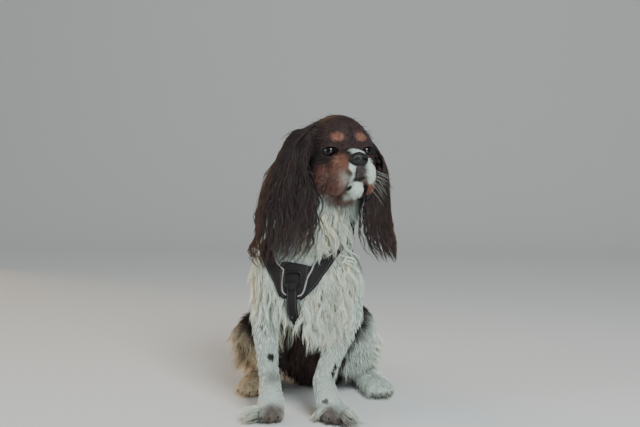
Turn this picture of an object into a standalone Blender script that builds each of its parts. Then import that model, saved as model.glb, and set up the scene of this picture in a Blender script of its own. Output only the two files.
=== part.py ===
"""A sitting Cavalier King Charles spaniel, life size, its head turned to its left, in a chest harness.

Metres, +Z up. The dog faces -Y, its left side is +X and the floor is at Z = 0 before the model is centred.
The flesh is a field of rounded forms, meshed whole and then parted with thin cuts. The ears, nose, eyes
and harness are set on it, and the long coat is flat tapered locks fused to the piece they grow from.
"""
import math
import random

import bmesh
import bpy
import numpy as np
import openvdb
from mathutils import Matrix, Vector
from mathutils.bvhtree import BVHTree

# Gap that touching pieces keep, and the length below which edges are welded
GAP = 0.0003
WELD = 0.00001

# Head, in metres of the whole dog and then in the head's own frame
HEAD_CENTRE = Vector((0.052, -0.088, 0.412))
HEAD_YAW = math.radians(27.0)
HEAD_PITCH = math.radians(6.0)
EYE_RADIUS = 0.0122
EYE_SEAT = Vector((0.0288, -0.0380, -0.0012))
EYE_OUTWARD = math.radians(16.0)
NOSE_SEAT = Vector((0.0, -0.0815, -0.0170))

# The two folds round each eye: reach to its corners, height over its middle, drop below it
LID_FOLDS = ((0.0125, 0.0088, 0.0), (0.0132, 0.0108, 0.0024))
# The line of the mouth on one side, from under the nose back to the corner, and how deep its crease is
LIP_LINE = (
    (0.0020, -0.0885, -0.0425), (0.0090, -0.0830, -0.0490), (0.0120, -0.0720, -0.0580),
    (0.0135, -0.0560, -0.0660), (0.0180, -0.0380, -0.0690), (0.0270, -0.0220, -0.0640))
LIP_CREASE = (0.0016, 0.0022, 0.0024, 0.0022, 0.0018, 0.0012)

# Grid steps and triangle counts of the flesh
HEAD_STEP = 0.0013
BODY_STEP = 0.003
HEAD_TRIANGLES = 2300
BODY_TRIANGLES = 3200

# Finishes: colour, roughness, metallic
FINISHES = {
    "black_coat": ("#2E2226", 0.75),
    "white_coat": ("#DCDCD6", 0.80),
    "nose": ("#1C1719", 0.45),
    "eye": ("#140C0A", 0.08),
    "webbing": ("#1B1C20", 0.80),
    "buckle": ("#141518", 0.40),
    "ring": ("#4C4E54", 0.35, 1.0),
}

# Locks of the coat, and the ears
SEED = 7
LOCK_STEPS = 4
EAR_LOCK_STEPS = 5
LOCK_SINK = 0.005
LOCK_CLEARANCE = 0.0012
SHARPEST_BEND = math.radians(75)
LOCK_THICKNESS = 0.0036
EAR_CORE = 0.50
EAR_THICKNESS = 0.009
# Tiers of an ear's locks: count, where they root and end down the sheet, height over it, and width
EAR_TIERS = (
    (4, 0.13, 0.48, 0.0040, 0.020),
    (4, 0.29, 0.76, 0.0032, 0.020),
    (6, 0.42, 0.97, 0.0008, 0.0165),
    (3, 0.46, 0.92, -0.0044, 0.022),
)
# Paws that show locks between their toes: middle, turn and height of the roots over the middle
PAWS = {
    "front_paw_right": ((-0.047, -0.135, 0.0165), math.radians(-6)),
    "front_paw_left": ((0.052, -0.132, 0.0165), math.radians(22)),
}

# Webbing of the harness
STRAP_WIDTH = 0.020
STRAP_THICKNESS = 0.0032
STRAP_LIFT = 0.0014
PLATE_THICKNESS = 0.0042
RING_WIRE = 0.0015
RING_WIDTH = 0.025
RING_LENGTH = 0.022
RING_CORNER = 0.004
RING_ROOM = 0.003
JUNCTION = Vector((-0.018, -0.150, 0.190))
PLATE_TOP = Vector((-0.010, -0.150, 0.236))
WITHERS = Vector((0.0, 0.012, 0.285))
RING_LIFT = 0.0080
RING_FRONT = Vector((-0.0110, -0.150, 0.2110))
RING_BACK = Vector((0.0, 0.038, 0.268))


class Ball:
    """A rounded form with three radii, turned by a rotation matrix."""

    def __init__(self, centre, radii, turn=None, blend=0.008, carve=False):
        self.centre = np.array(centre, np.float32)
        self.radii = np.array(radii, np.float32)
        self.turn = np.array(turn if turn is not None else Matrix.Identity(3), np.float32)
        self.blend = blend
        self.carve = carve
        reach = float(max(radii))
        self.low = self.centre - reach
        self.high = self.centre + reach

    def distance(self, points):
        local = (points - self.centre) @ self.turn / self.radii
        size = np.linalg.norm(local, axis=-1)
        slope = np.linalg.norm(local / self.radii, axis=-1)
        return size * (size - 1.0) / np.maximum(slope, 1e-6)


class Limb:
    """A chain of tapering rounds along a path, one radius at each point."""

    def __init__(self, path, radii, blend=0.008, carve=False):
        self.path = np.array(path, np.float32)
        self.radii = np.array(radii, np.float32)
        self.blend = blend
        self.carve = carve
        reach = float(max(radii))
        self.low = self.path.min(axis=0) - reach
        self.high = self.path.max(axis=0) + reach

    def distance(self, points):
        nearest = None
        for start, end, wide, narrow in zip(self.path, self.path[1:], self.radii, self.radii[1:]):
            along = end - start
            share = np.clip((points - start) @ along / (along @ along), 0.0, 1.0)
            offset = points - start - share[..., None] * along
            found = np.linalg.norm(offset, axis=-1) - (wide + share * (narrow - wide))
            nearest = found if nearest is None else np.minimum(nearest, found)
        return nearest


def smooth_least(first, second, blend):
    """The lesser of two distances, rounded where they are nearly equal."""
    share = np.maximum(blend - np.abs(first - second), 0.0) / blend
    return np.minimum(first, second) - share * share * blend * 0.25


class Flesh:
    """Distances to the surface of a set of forms, negative inside, on a grid of cubes."""

    FAR = 0.05
    REACH = 0.02

    def __init__(self, forms, low, high, step):
        self.low = np.array(low, np.float32)
        self.step = step
        self.shape = np.ceil((np.array(high) - self.low) / step).astype(int) + 1
        self.values = np.full(self.shape, self.FAR, np.float32)
        for form in forms:
            self.add(form)

    def add(self, form):
        margin = form.blend + self.REACH
        first = np.clip(np.floor((form.low - margin - self.low) / self.step).astype(int), 0, self.shape)
        last = np.clip(np.ceil((form.high + margin - self.low) / self.step).astype(int) + 1, 0, self.shape)
        if (last <= first).any():
            return
        block = tuple(slice(a, b) for a, b in zip(first, last))
        axes = [self.low[k] + self.step * np.arange(first[k], last[k], dtype=np.float32) for k in range(3)]
        points = np.stack(np.meshgrid(*axes, indexing="ij"), axis=-1)
        found = form.distance(points)
        if form.carve:
            self.values[block] = -smooth_least(-self.values[block], found, form.blend)
        else:
            self.values[block] = smooth_least(self.values[block], found, form.blend)

    def mesh(self, name):
        grid = openvdb.FloatGrid(self.FAR)
        grid.copyFromArray(self.values)
        points, quads = grid.convertToQuads(0.0)
        made = bpy.data.meshes.new(name)
        made.from_pydata(points * self.step + self.low, [], quads[:, ::-1].tolist())
        return made

    def distance_at(self, point):
        """Distance at one point, read between the corners of its cube."""
        place = np.clip((np.array(point) - self.low) / self.step, 0, self.shape - 1.001)
        corner = np.floor(place).astype(int)
        share = place - corner
        cube = self.values[tuple(slice(c, c + 2) for c in corner)]
        for part in share:
            cube = cube[0] * (1 - part) + cube[1] * part
        return float(cube)

    def outward_at(self, point):
        """Direction straight out of the flesh near a point."""
        steps = (Vector(axis) * self.step for axis in Matrix.Identity(3))
        slope = Vector([self.distance_at(point + step) - self.distance_at(point - step) for step in steps])
        return slope.normalized() if slope.length > 1e-9 else Vector((0, -1, 0))

    def on_skin(self, point, height=0.0):
        """The nearest point at the given height over the flesh."""
        for _ in range(6):
            point = point + self.outward_at(point) * (height - self.distance_at(point))
        return point

    def clear_of(self, point, height):
        """The point, moved out where it is less than the given height over the flesh."""
        for _ in range(4):
            short = height - self.distance_at(point)
            if short > 0:
                point = point + self.outward_at(point) * short
        return point


HEAD_TURN = Matrix.Rotation(HEAD_YAW, 3, "Z") @ Matrix.Rotation(-HEAD_PITCH, 3, "X")


def in_head(x, y, z):
    """A point of the head's own frame, whose -Y runs out along the muzzle."""
    return HEAD_CENTRE + HEAD_TURN @ Vector((x, y, z))


def head_ball(x, y, z, radii, blend=0.008, carve=False, turn=None):
    turned = HEAD_TURN @ turn if turn else HEAD_TURN
    return Ball(in_head(x, y, z), radii, turned, blend, carve)


def eye_centre(side):
    return in_head(side * EYE_SEAT.x, EYE_SEAT.y, EYE_SEAT.z)


def head_forms():
    """Skull, forehead, muzzle, lips and chin, then the lids, the eyes' openings and the line of the mouth."""
    forms = [
        head_ball(0, 0.008, 0.012, (0.0440, 0.055, 0.0480)),
        head_ball(0, -0.021, 0.012, (0.0380, 0.030, 0.0375), 0.014),
        head_ball(0, -0.054, -0.0120, (0.0200, 0.0290, 0.0125), 0.012),
        head_ball(0, -0.054, -0.026, (0.0275, 0.030, 0.018), 0.010),
        head_ball(0, -0.0700, -0.0285, (0.0130, 0.0160, 0.0140), 0.006),
    ]
    for side in (-1, 1):
        forms += [
            head_ball(side * 0.027, -0.014, -0.024, (0.026, 0.034, 0.034), 0.014),
            head_ball(side * 0.0220, -0.040, 0.0150, (0.0145, 0.010, 0.008), 0.012),
            head_ball(side * 0.0260, -0.044, -0.0185, (0.0120, 0.0150, 0.0080), 0.008),
            head_ball(side * 0.0150, -0.0670, -0.0345, (0.0158, 0.0185, 0.0165), 0.0035),
            head_ball(side * 0.0225, -0.0500, -0.0470, (0.0118, 0.0275, 0.0205), 0.007),
        ]
    forms.append(Limb([in_head(0, -0.004, -0.050), in_head(0, -0.0655, -0.0600)], (0.024, 0.0122), 0.0025))
    for side in (-1, 1):
        look = Matrix.Rotation(side * EYE_OUTWARD, 3, "Z")
        seat = Vector((side * EYE_SEAT.x, EYE_SEAT.y, EYE_SEAT.z))
        front = seat + look @ Vector((0, -0.0100, -0.0008))
        forms.append(head_ball(*seat, (EYE_RADIUS + 0.0028,) * 3, 0.006))
        for reach, height, drop in LID_FOLDS:
            fold = []
            for k in range(9):
                angle = math.pi * (1.0 + k / 8) if drop else math.pi * k / 8
                fold.append(in_head(*(seat + look @ Vector(
                    (reach * math.cos(angle), -0.0108 + 0.0070 * abs(math.cos(angle)), height * math.sin(angle) - drop)))))
            forms.append(Limb(fold, (0.0017,) * 9, 0.0022))
        forms.append(head_ball(*front, (0.0112, 0.0090, 0.0066), 0.0012, True, look))
        forms.append(Limb([in_head(side * x, y, z) for x, y, z in LIP_LINE], LIP_CREASE, 0.0012, True))
    return forms


def nose_forms():
    """The nose leather, with two nostrils that open to the sides and a groove between them."""
    x, y, z = NOSE_SEAT
    forms = [head_ball(x, y, z, (0.0130, 0.0085, 0.0102), 0.003)]
    for side in (-1, 1):
        forms.append(head_ball(side * 0.0082, y - 0.0005, z - 0.001, (0.0060, 0.0068, 0.0075), 0.003))
    forms.append(Limb([in_head(x, y - 0.003, z - 0.004), in_head(x, y + 0.003, z - 0.016)], (0.004, 0.003), 0.004))
    for side in (-1, 1):
        nostril = [in_head(side * 0.0048, y - 0.0085, z - 0.0005), in_head(side * 0.0096, y - 0.0050, z - 0.0025)]
        forms.append(Limb(nostril, (0.0019, 0.0011), 0.001, carve=True))
    groove = [in_head(x, y - 0.0095, z - 0.001), in_head(x, y - 0.006, z - 0.012)]
    forms.append(Limb(groove, (0.0007, 0.0007), 0.001, carve=True))
    return forms


def torso_forms():
    forms = [
        Limb(
            [(0, -0.068, 0.212), (0, 0.020, 0.160), (0, 0.070, 0.100), (0, 0.095, 0.057)],
            (0.060, 0.066, 0.068, 0.060),
        ),
        Ball((0, -0.030, 0.245), (0.050, 0.052, 0.050), blend=0.02),
        Ball((-0.004, -0.106, 0.205), (0.044, 0.036, 0.058), blend=0.02),
    ]
    for side in (-1, 1):
        forms.append(Ball((side * 0.052, -0.070, 0.212), (0.030, 0.045, 0.062), blend=0.02))
    return forms


def neck_forms():
    path = [(0.004, -0.048, 0.258), (0.020, -0.062, 0.318), (0.040, -0.070, 0.368), (0.049, -0.074, 0.398)]
    return [Limb(path, (0.062, 0.055, 0.051, 0.048), 0.02)]


def front_leg_forms(side, elbow, middle, carpus, pastern, paw, toes_out):
    path = [(side * 0.058, -0.070, 0.222), elbow, middle, carpus, pastern]
    return [Limb(path, (0.030, 0.026, 0.0185, 0.0180, 0.0205), 0.014)] + paw_forms(paw, toes_out)


def paw_forms(centre, turn):
    """A rounded paw with four toes along its front."""
    turned = Matrix.Rotation(turn, 3, "Z")
    middle = Vector(centre)
    forms = [Ball(middle, (0.022, 0.027, 0.017), turned, 0.010)]
    for x, y in ((-0.0165, -0.013), (-0.006, -0.022), (0.006, -0.022), (0.0165, -0.013)):
        place = middle + turned @ Vector((x, y, -0.004))
        forms.append(Ball(place, (0.0085, 0.0130, 0.0110), turned, 0.004))
    return forms


def hind_leg_forms(side, knee, hock, toes):
    hip = Vector((side * 0.052, 0.082, 0.085))
    knee, hock, toes = Vector(knee), Vector(hock), Vector(toes)
    out = math.atan2(toes.x - hock.x, -(toes.y - hock.y))
    forms = [
        Ball((hip + knee) / 2 + Vector((side * 0.004, 0, 0)), (0.040, 0.060, 0.056), blend=0.02),
        Limb([hip, knee], (0.045, 0.030), 0.014),
        Limb([knee, (knee + hock) / 2, hock], (0.030, 0.025, 0.0175), 0.012),
        Limb([hock, hock.lerp(toes, 0.55)], (0.0170, 0.0165), 0.010),
    ]
    return forms + paw_forms(hock.lerp(toes, 0.78), out)


def tail_forms():
    path = [(0, 0.120, 0.055), (0.004, 0.160, 0.024), (0.012, 0.205, 0.0115), (0.024, 0.250, 0.0085)]
    return [Limb(path, (0.022, 0.0155, 0.0125, 0.009), 0.014)]


def body_forms():
    forms = torso_forms() + neck_forms()
    forms += front_leg_forms(
        -1, (-0.064, -0.080, 0.160), (-0.059, -0.104, 0.104), (-0.052, -0.117, 0.055),
        (-0.049, -0.126, 0.030), (-0.047, -0.135, 0.0165), math.radians(-6),
    )
    forms += front_leg_forms(
        1, (0.066, -0.078, 0.160), (0.047, -0.104, 0.103), (0.032, -0.117, 0.058),
        (0.040, -0.125, 0.032), (0.052, -0.132, 0.0165), math.radians(22),
    )
    forms += hind_leg_forms(1, (0.072, 0.000, 0.114), (0.080, 0.086, 0.026), (0.118, 0.002, 0.0135))
    forms += hind_leg_forms(-1, (-0.094, 0.006, 0.112), (-0.092, 0.088, 0.026), (-0.106, -0.012, 0.0133))
    return forms + tail_forms()


def new_collection(name):
    made = bpy.data.collections.new(name)
    bpy.context.scene.collection.children.link(made)
    return made


def new_piece(name, mesh):
    piece = bpy.data.objects.new(name, mesh)
    bpy.context.scene.collection.objects.link(piece)
    return piece


def remove(piece):
    mesh = piece.data
    bpy.data.objects.remove(piece)
    bpy.data.meshes.remove(mesh)


def fuse(piece, locks):
    """Joins the locks to the piece as one closed body."""
    group = new_collection("locks")
    for found in locks:
        bpy.context.scene.collection.objects.unlink(found)
        group.objects.link(found)
    change = piece.modifiers.new("fuse", "BOOLEAN")
    change.operation = "UNION"
    change.operand_type = "COLLECTION"
    change.collection = group
    change.solver = "EXACT"
    settle(piece)
    for found in list(group.objects):
        remove(found)
    bpy.data.collections.remove(group)
    keep_largest(piece)


def settle(piece):
    """Turns what the piece's modifiers make into its own mesh."""
    graph = bpy.context.evaluated_depsgraph_get()
    made = bpy.data.meshes.new_from_object(piece.evaluated_get(graph))
    worn = piece.data
    piece.modifiers.clear()
    piece.data = made
    made.name = piece.name
    bpy.data.meshes.remove(worn)


def decimate(piece, triangles):
    change = piece.modifiers.new("decimate", "DECIMATE")
    faces = sum(len(face.vertices) - 2 for face in piece.data.polygons)
    change.ratio = triangles / faces
    change.use_collapse_triangulate = True
    settle(piece)


def keep_largest(piece):
    """Keeps the largest closed surface of the piece, split into triangles and welded where that leaves it closed."""
    work = bmesh.new()
    work.from_mesh(piece.data)
    bmesh.ops.triangulate(work, faces=work.faces)
    unwelded = work.copy()
    bmesh.ops.remove_doubles(work, verts=work.verts, dist=WELD)
    if any(not edge.is_manifold for edge in work.edges):
        work = unwelded
    left = set(work.faces)
    shells = []
    while left:
        front = [left.pop()]
        shell = set(front)
        while front:
            for edge in front.pop().edges:
                for face in edge.link_faces:
                    if face in left:
                        left.discard(face)
                        shell.add(face)
                        front.append(face)
        shells.append(shell)
    if len(shells) > 1:
        largest = max(shells, key=lambda shell: sum(face.calc_area() for face in shell))
        spare = [face for shell in shells if shell is not largest for face in shell]
        bmesh.ops.delete(work, geom=spare, context="FACES")
    work.to_mesh(piece.data)
    work.free()


def combine(piece, other, operation):
    change = piece.modifiers.new("cut", "BOOLEAN")
    change.operation = operation
    change.object = other
    change.solver = "EXACT"
    settle(piece)


def copy_of(piece, name):
    return new_piece(name, piece.data.copy())


def grown(piece, by):
    """A copy of the piece with its surface moved out."""
    made = copy_of(piece, piece.name + "_grown")
    normals = [vertex.normal.copy() for vertex in made.data.vertices]
    for vertex, normal in zip(made.data.vertices, normals):
        vertex.co += normal * by
    return made


def cut_clear(piece, *others):
    """Cuts the piece back where it comes nearer than the gap to the others."""
    for other in others:
        cutter = grown(other, GAP)
        combine(piece, cutter, "DIFFERENCE")
        remove(cutter)
    keep_largest(piece)


def block(low, high, face=None, slope=(0.0, 0.0)):
    """A box whose one face may slant: its coordinate changes by slope along the two other axes."""
    low, high = Vector(low), Vector(high)
    mesh = bpy.data.meshes.new("block")
    work = bmesh.new()
    bmesh.ops.create_cube(work, size=1.0)
    middle = (low + high) / 2
    for vertex in work.verts:
        place = Vector([middle[k] + vertex.co[k] * (high[k] - low[k]) for k in range(3)])
        if face:
            axis = "xyz".index(face[1])
            if (vertex.co[axis] > 0) == (face[0] == "+"):
                others = [k for k in range(3) if k != axis]
                place[axis] += sum((place[k] - middle[k]) * rate for k, rate in zip(others, slope))
        vertex.co = place
    work.to_mesh(mesh)
    work.free()
    return new_piece("block", mesh)


def part_off(whole, name, cutter):
    """Takes the piece inside the cutter off the whole, leaving the gap between them."""
    piece = copy_of(whole, name)
    combine(piece, cutter, "INTERSECT")
    keep_largest(piece)
    wider = grown(cutter, GAP * math.sqrt(3))
    combine(whole, wider, "DIFFERENCE")
    keep_largest(whole)
    remove(wider)
    remove(cutter)
    return piece


def head_cutter():
    """A box above a plane that runs from under the jaw up to the nape."""
    cutter = block((-0.11, -0.13, 0), (0.11, 0.10, 0.20))
    tilt = Matrix.Rotation(math.radians(30), 3, "X")
    place = Matrix.Translation(in_head(0, 0.012, -0.058)) @ (HEAD_TURN @ tilt).to_4x4()
    cutter.data.transform(place)
    return cutter


def part_flesh(whole):
    """Parts the flesh into the pieces that a person would name."""
    pieces = {"head": part_off(whole, "head", head_cutter())}
    pieces["neck"] = part_off(
        whole, "neck", block((-0.13, -0.16, 0.280), (0.15, 0.08, 0.46), "-z", (0.0, 0.31)))
    pieces["throat"] = part_off(
        pieces["neck"], "throat", block((-0.15, -0.20, 0.20), (0.17, -0.085, 0.46), "+y", (0.0, -0.19)))
    for name, side, centre in (("right", -1, -0.062), ("left", 1, 0.056)):
        leg = block(
            (centre - 0.045, -0.175, -0.02), (centre + 0.045, -0.045, 0.160), "+z", (side * 0.5, 0.0))
        pieces["front_leg_" + name] = part_off(whole, "front_leg_" + name, leg)
        paw = block((centre - 0.060, -0.180, -0.02), (centre + 0.060, -0.040, 0.034))
        pieces["front_paw_" + name] = part_off(pieces["front_leg_" + name], "front_paw_" + name, paw)
    for name, side in (("right", -1), ("left", 1)):
        low, high = sorted((side * 0.056, side * 0.19))
        inner = "-x" if side > 0 else "+x"
        thigh = block((low, -0.055, -0.02), (high, 0.145, 0.20), inner, (0.0, side * 0.38))
        pieces["hind_leg_" + name] = part_off(whole, "hind_leg_" + name, thigh)
        paw = block((low, -0.060, -0.02), (high, 0.036, 0.050))
        pieces["hind_paw_" + name] = part_off(pieces["hind_leg_" + name], "hind_paw_" + name, paw)
    pieces["tail"] = part_off(whole, "tail", block((-0.08, 0.150, -0.02), (0.12, 0.36, 0.12)))
    pieces["chest"] = part_off(
        whole, "chest", block((-0.14, -0.19, 0.08), (0.14, -0.008, 0.34), "+y", (0.0, 0.58)))
    whole.name = "torso"
    pieces["torso"] = whole
    return pieces


def curve_through(points, share):
    """A point on the smooth curve through the points, at a share of its length in steps."""
    points = [Vector(point) for point in points]
    place = min(max(share, 0.0), 1.0) * (len(points) - 1)
    k = min(int(place), len(points) - 2)
    t = place - k
    before = points[k - 1] if k else points[0] * 2 - points[1]
    after = points[k + 2] if k + 2 < len(points) else points[-1] * 2 - points[-2]
    start, end = points[k], points[k + 1]
    return 0.5 * (
        start * 2 + (end - before) * t + (before * 2 - start * 5 + end * 4 - after) * t * t
        + (start * 3 - before - end * 3 + after) * t * t * t
    )


class Ear:
    """The curved sheet that an ear hangs in: u runs from its front edge to its rear one, v from root to tip."""

    def __init__(self, front, rear, bulge, flesh):
        self.front = front
        self.rear = rear
        self.bulge = bulge
        self.flesh = flesh

    def raw(self, u, v):
        front, rear = curve_through(self.front, v), curve_through(self.rear, v)
        return front, rear, front.lerp(rear, u)

    def at(self, u, v, lift=0.0):
        front, rear, point = self.raw(u, v)
        down = self.raw(u, min(v + 0.05, 1.0))[2] - self.raw(u, max(v - 0.05, 0.0))[2]
        out = (rear - front).cross(down).normalized()
        if out.dot(self.flesh.outward_at(point)) < 0:
            out = -out
        height = min(v / 0.3, 1.0) * (0.005 + 0.008 * v)
        point = point + out * (self.bulge * 4 * u * (1 - u) * min(max(v - 0.12, 0.0) / 0.3, 1.0))
        if v > 0.06:
            point = self.flesh.clear_of(point, height)
        return point + out * lift


def ear_sheet(ear, name, length, thickness, across=7, along=12):
    """A leaf of the ear's sheet from its root to a share of its length, thick in the middle and thin at the rim."""
    mesh = bpy.data.meshes.new(name)
    work = bmesh.new()
    bmesh.ops.create_grid(work, x_segments=across - 1, y_segments=along - 1, size=0.5)
    weights = {}
    for vertex in work.verts:
        s, t = vertex.co.x + 0.5, vertex.co.y + 0.5
        half = 0.5 * math.sqrt(max(1.0 - max(t - 0.55, 0.0) ** 2 / 0.2035, 0.02))
        u = 0.5 + (s * 2 - 1) * half
        weights[vertex.index] = max(1.0 - abs(s * 2 - 1) ** 3, 0.25) * max(1.0 - t ** 6, 0.3)
        vertex.co = ear.at(u, t * length)
    work.to_mesh(mesh)
    work.free()
    piece = new_piece(name, mesh)
    group = piece.vertex_groups.new(name="thick")
    for index, weight in weights.items():
        group.add([index], weight, "REPLACE")
    shell = piece.modifiers.new("shell", "SOLIDIFY")
    shell.thickness = thickness
    shell.offset = 0.0
    shell.vertex_group = "thick"
    shell.use_even_offset = False
    settle(piece)
    outward(piece)
    return piece


def lock(path, outs, width, thickness=LOCK_THICKNESS):
    """A flat tapered lock along a path: a low ridge over a flat underside, narrow at its root, run out to a tip."""
    last = len(path) - 1
    rings = []
    before = None
    for k, (point, out) in enumerate(zip(path, outs)):
        share = k / last
        along = path[min(k + 1, last)] - path[max(k - 1, 0)]
        across = along.cross(out).normalized()
        if before and across.dot(before) < 0:
            across = -across
        before = across
        ridge = across.cross(along).normalized() * (thickness * (1.0 - 0.5 * share))
        half = across * (width / 2 * min(0.55 + 1.5 * share, 1.0) * (1.0 - share ** 2))
        rings.append([point - half, point + ridge, point + half] if k < last else [point])
    return loft("lock", rings)


def ear_locks(ear, draw):
    """Tiers of locks down an ear: each lies in the ear's sheet, swings a little and overlaps the tier below."""
    locks = []
    for count, start, end, lift, width in EAR_TIERS:
        for k in range(count):
            u = (k + 0.5) / count + draw.uniform(-0.03, 0.03)
            root = start + draw.uniform(-0.03, 0.03)
            tip = end + draw.uniform(-0.06, 0.04)
            sway, phase = draw.uniform(-0.05, 0.05), draw.uniform(0, math.tau)
            path, outs = [], []
            for step in range(EAR_LOCK_STEPS + 1):
                t = step / EAR_LOCK_STEPS
                wave = 0.035 * math.sin(phase + t * 7.0) * t
                v = root + (tip - root) * t
                # The sheet narrows towards its tip, so the outer columns are drawn in
                u_here = 0.5 + (u - 0.5) * (0.96 - 0.25 * max(v - 0.7, 0)) + sway * t + wave
                height = lift * (1.0 - 0.4 * t) + 0.002 * math.sin(phase * 1.7 + t * 6.0) * t
                path.append(ear.at(min(max(u_here, 0.0), 1.0), v, height))
                outs.append(ear.at(0.5, v, 0.01) - ear.at(0.5, v))
            locks.append(lock(path, outs, width * draw.uniform(0.85, 1.15)))
    return locks


def coat_lock(flesh, root, lie, length, width, lift, draw, droop=0.3, curl=0.35, floor=0.0035):
    """A lock rooted in the flesh: it follows its lie over the skin, sways, droops, lifts off and ends before a fold."""
    root = flesh.on_skin(Vector(root))
    out = flesh.outward_at(root)
    lie = Vector(lie).normalized()
    point = root - out * LOCK_SINK
    path, outs = [point], [out]
    phase = draw.uniform(0, math.tau)
    stride = length / LOCK_STEPS
    for step in range(1, LOCK_STEPS + 1):
        t = step / LOCK_STEPS
        # The lock turns its face gradually, so that its sections never cross
        if flesh.distance_at(point) < 0.02:
            out = (out + flesh.outward_at(point) * 0.6).normalized()
        heading = lie + lie.cross(out) * (curl * math.sin(phase + t * 6.0)) + Vector((0, 0, -droop * t))
        heading -= out * min(heading.dot(out), 0.0)
        point = point + heading.normalized() * stride
        point = flesh.clear_of(point, LOCK_CLEARANCE + lift * t)
        point.z = max(point.z, floor)
        if step > 2 and (point - path[-1]).angle(path[-1] - path[-2]) > SHARPEST_BEND:
            break
        path.append(point)
        outs.append(out)
    return lock(path, outs, width)


def coat_patch(flesh, corners, rows, columns, lie, length, width, lift, draw, **bend):
    """Locks in rows over a patch between four corners, in staggered columns."""
    first, second, third, fourth = (Vector(corner) for corner in corners)
    locks = []
    for row in range(rows):
        down = (row + 0.5) / rows
        left, right = first.lerp(fourth, down), second.lerp(third, down)
        for column in range(columns):
            across = (column + 0.5 + (0.25 if row % 2 else -0.25)) / columns + draw.uniform(-0.06, 0.06)
            size = draw.uniform(0.85, 1.15)
            turn = Vector([draw.uniform(-0.15, 0.15) for _ in range(3)])
            locks.append(coat_lock(
                flesh, left.lerp(right, across), Vector(lie) + turn, length * size, width, lift, draw, **bend))
    return locks


def coat(flesh):
    """The long coat: the locks of each piece by its name."""
    draw = random.Random(SEED)
    locks = {
        "throat": coat_patch(
            flesh, [(0.008, -0.125, 0.352), (0.064, -0.125, 0.352), (0.066, -0.120, 0.296), (-0.002, -0.125, 0.296)],
            2, 4, (0.10, -0.2, -1.0), 0.052, 0.015, 0.006, draw, curl=0.5),
        "chest": coat_patch(
            flesh, [(-0.006, -0.150, 0.258), (0.074, -0.110, 0.258), (0.056, -0.120, 0.172), (0.002, -0.140, 0.172)],
            3, 4, (0.00, -0.2, -1.0), 0.066, 0.018, 0.007, draw, curl=0.55) + coat_patch(
            flesh, [(0.006, -0.120, 0.162), (0.050, -0.110, 0.162), (0.044, -0.095, 0.152), (0.012, -0.100, 0.152)],
            2, 3, (0.05, -0.20, -1.0), 0.048, 0.015, 0.006, draw, droop=0.3, curl=0.3),
        "tail": coat_patch(
            flesh, [(-0.014, 0.162, 0.040), (0.022, 0.162, 0.040), (0.034, 0.240, 0.022), (0.008, 0.240, 0.022)],
            3, 3, (0.10, 1.0, 0.02), 0.072, 0.017, 0.005, draw, droop=0.2),
        "hind_leg_right": coat_patch(
            flesh, [(-0.130, -0.005, 0.118), (-0.118, 0.095, 0.122), (-0.110, 0.130, 0.055), (-0.125, 0.030, 0.056)],
            3, 3, (-0.30, 0.25, -1.0), 0.064, 0.020, 0.016, draw, curl=0.5),
        "hind_leg_left": coat_patch(
            flesh, [(0.110, 0.020, 0.105), (0.104, 0.105, 0.115), (0.098, 0.128, 0.055), (0.110, 0.060, 0.050)],
            3, 3, (0.22, 0.35, -1.0), 0.048, 0.018, 0.011, draw, curl=0.5),
    }
    for name, elbow, wrist in (
            ("right", Vector((-0.064, -0.055, 0.148)), Vector((-0.053, -0.095, 0.062))),
            ("left", Vector((0.062, -0.053, 0.148)), Vector((0.034, -0.095, 0.064)))):
        spread = Vector((0.009, 0.002, 0))
        locks["front_leg_" + name] = coat_patch(
            flesh, [elbow - spread, elbow + spread, wrist + spread, wrist - spread],
            3, 2, (0.0, 0.50, -0.85), 0.048, 0.016, 0.009, draw)
    for name, (middle, turn) in PAWS.items():
        turned = Matrix.Rotation(turn, 3, "Z")
        locks[name] = [
            coat_lock(flesh, Vector(middle) + turned @ Vector((x, y, 0.010)), turned @ Vector((x * 50, -1, -0.5)),
                      0.028, 0.012, 0.002, draw, droop=0.5, floor=0.0025)
            for x, y in ((-0.012, -0.016), (0.0, -0.022), (0.012, -0.016))]
    return locks


def folded(found):
    """Whether a lock's surface crosses itself."""
    tree = tree_of(found)
    faces = [set(face.vertices) for face in found.data.polygons]
    return any(not faces[first] & faces[second] for first, second in tree.overlap(tree))


def usable(found, room_trees):
    """Whether something is left of a lock that neither crosses itself nor enters a ring's room."""
    if not found.data.polygons or folded(found):
        return False
    return not any(tree.overlap(tree_of(found)) for tree in room_trees)


def trim(found, piece, by):
    """Cuts back a lock that comes nearer to the piece than the given gap."""
    cutter = grown(piece, by)
    if tree_of(cutter).overlap(tree_of(found)):
        combine(found, cutter, "DIFFERENCE")
        keep_largest(found)
    remove(cutter)


def tree_of(piece):
    mesh = piece.data
    return BVHTree.FromPolygons([vertex.co for vertex in mesh.vertices], [face.vertices for face in mesh.polygons])


def ring_rooms(pieces):
    """The space in and round each ring, which no lock enters."""
    rooms = []
    for name in ("harness_ring_front", "harness_ring_back"):
        rooms.append(block(*box_of(pieces[name], RING_ROOM)))
    return rooms


def dress(pieces, locks):
    """Fuses the locks to their pieces, each cut clear of the other pieces first."""
    draw = random.Random(SEED)
    rooms = ring_rooms(pieces)
    room_trees = [tree_of(room) for room in rooms]
    near = {name: box_of(piece, 2 * GAP) for name, piece in pieces.items()}
    for name, found in locks.items():
        kept = []
        for each in found:
            # Gaps that differ a little keep the cut ends of two locks out of one plane
            by = GAP * draw.uniform(1.0, 1.8)
            for other, piece in pieces.items():
                if other != name and each.data.polygons and boxes_meet(box_of(each), near[other]):
                    trim(each, piece, by)
            if usable(each, room_trees):
                kept.append(each)
            else:
                remove(each)
        fuse(pieces[name], kept)
        near[name] = box_of(pieces[name], 2 * GAP)
    for room in rooms:
        remove(room)


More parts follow.
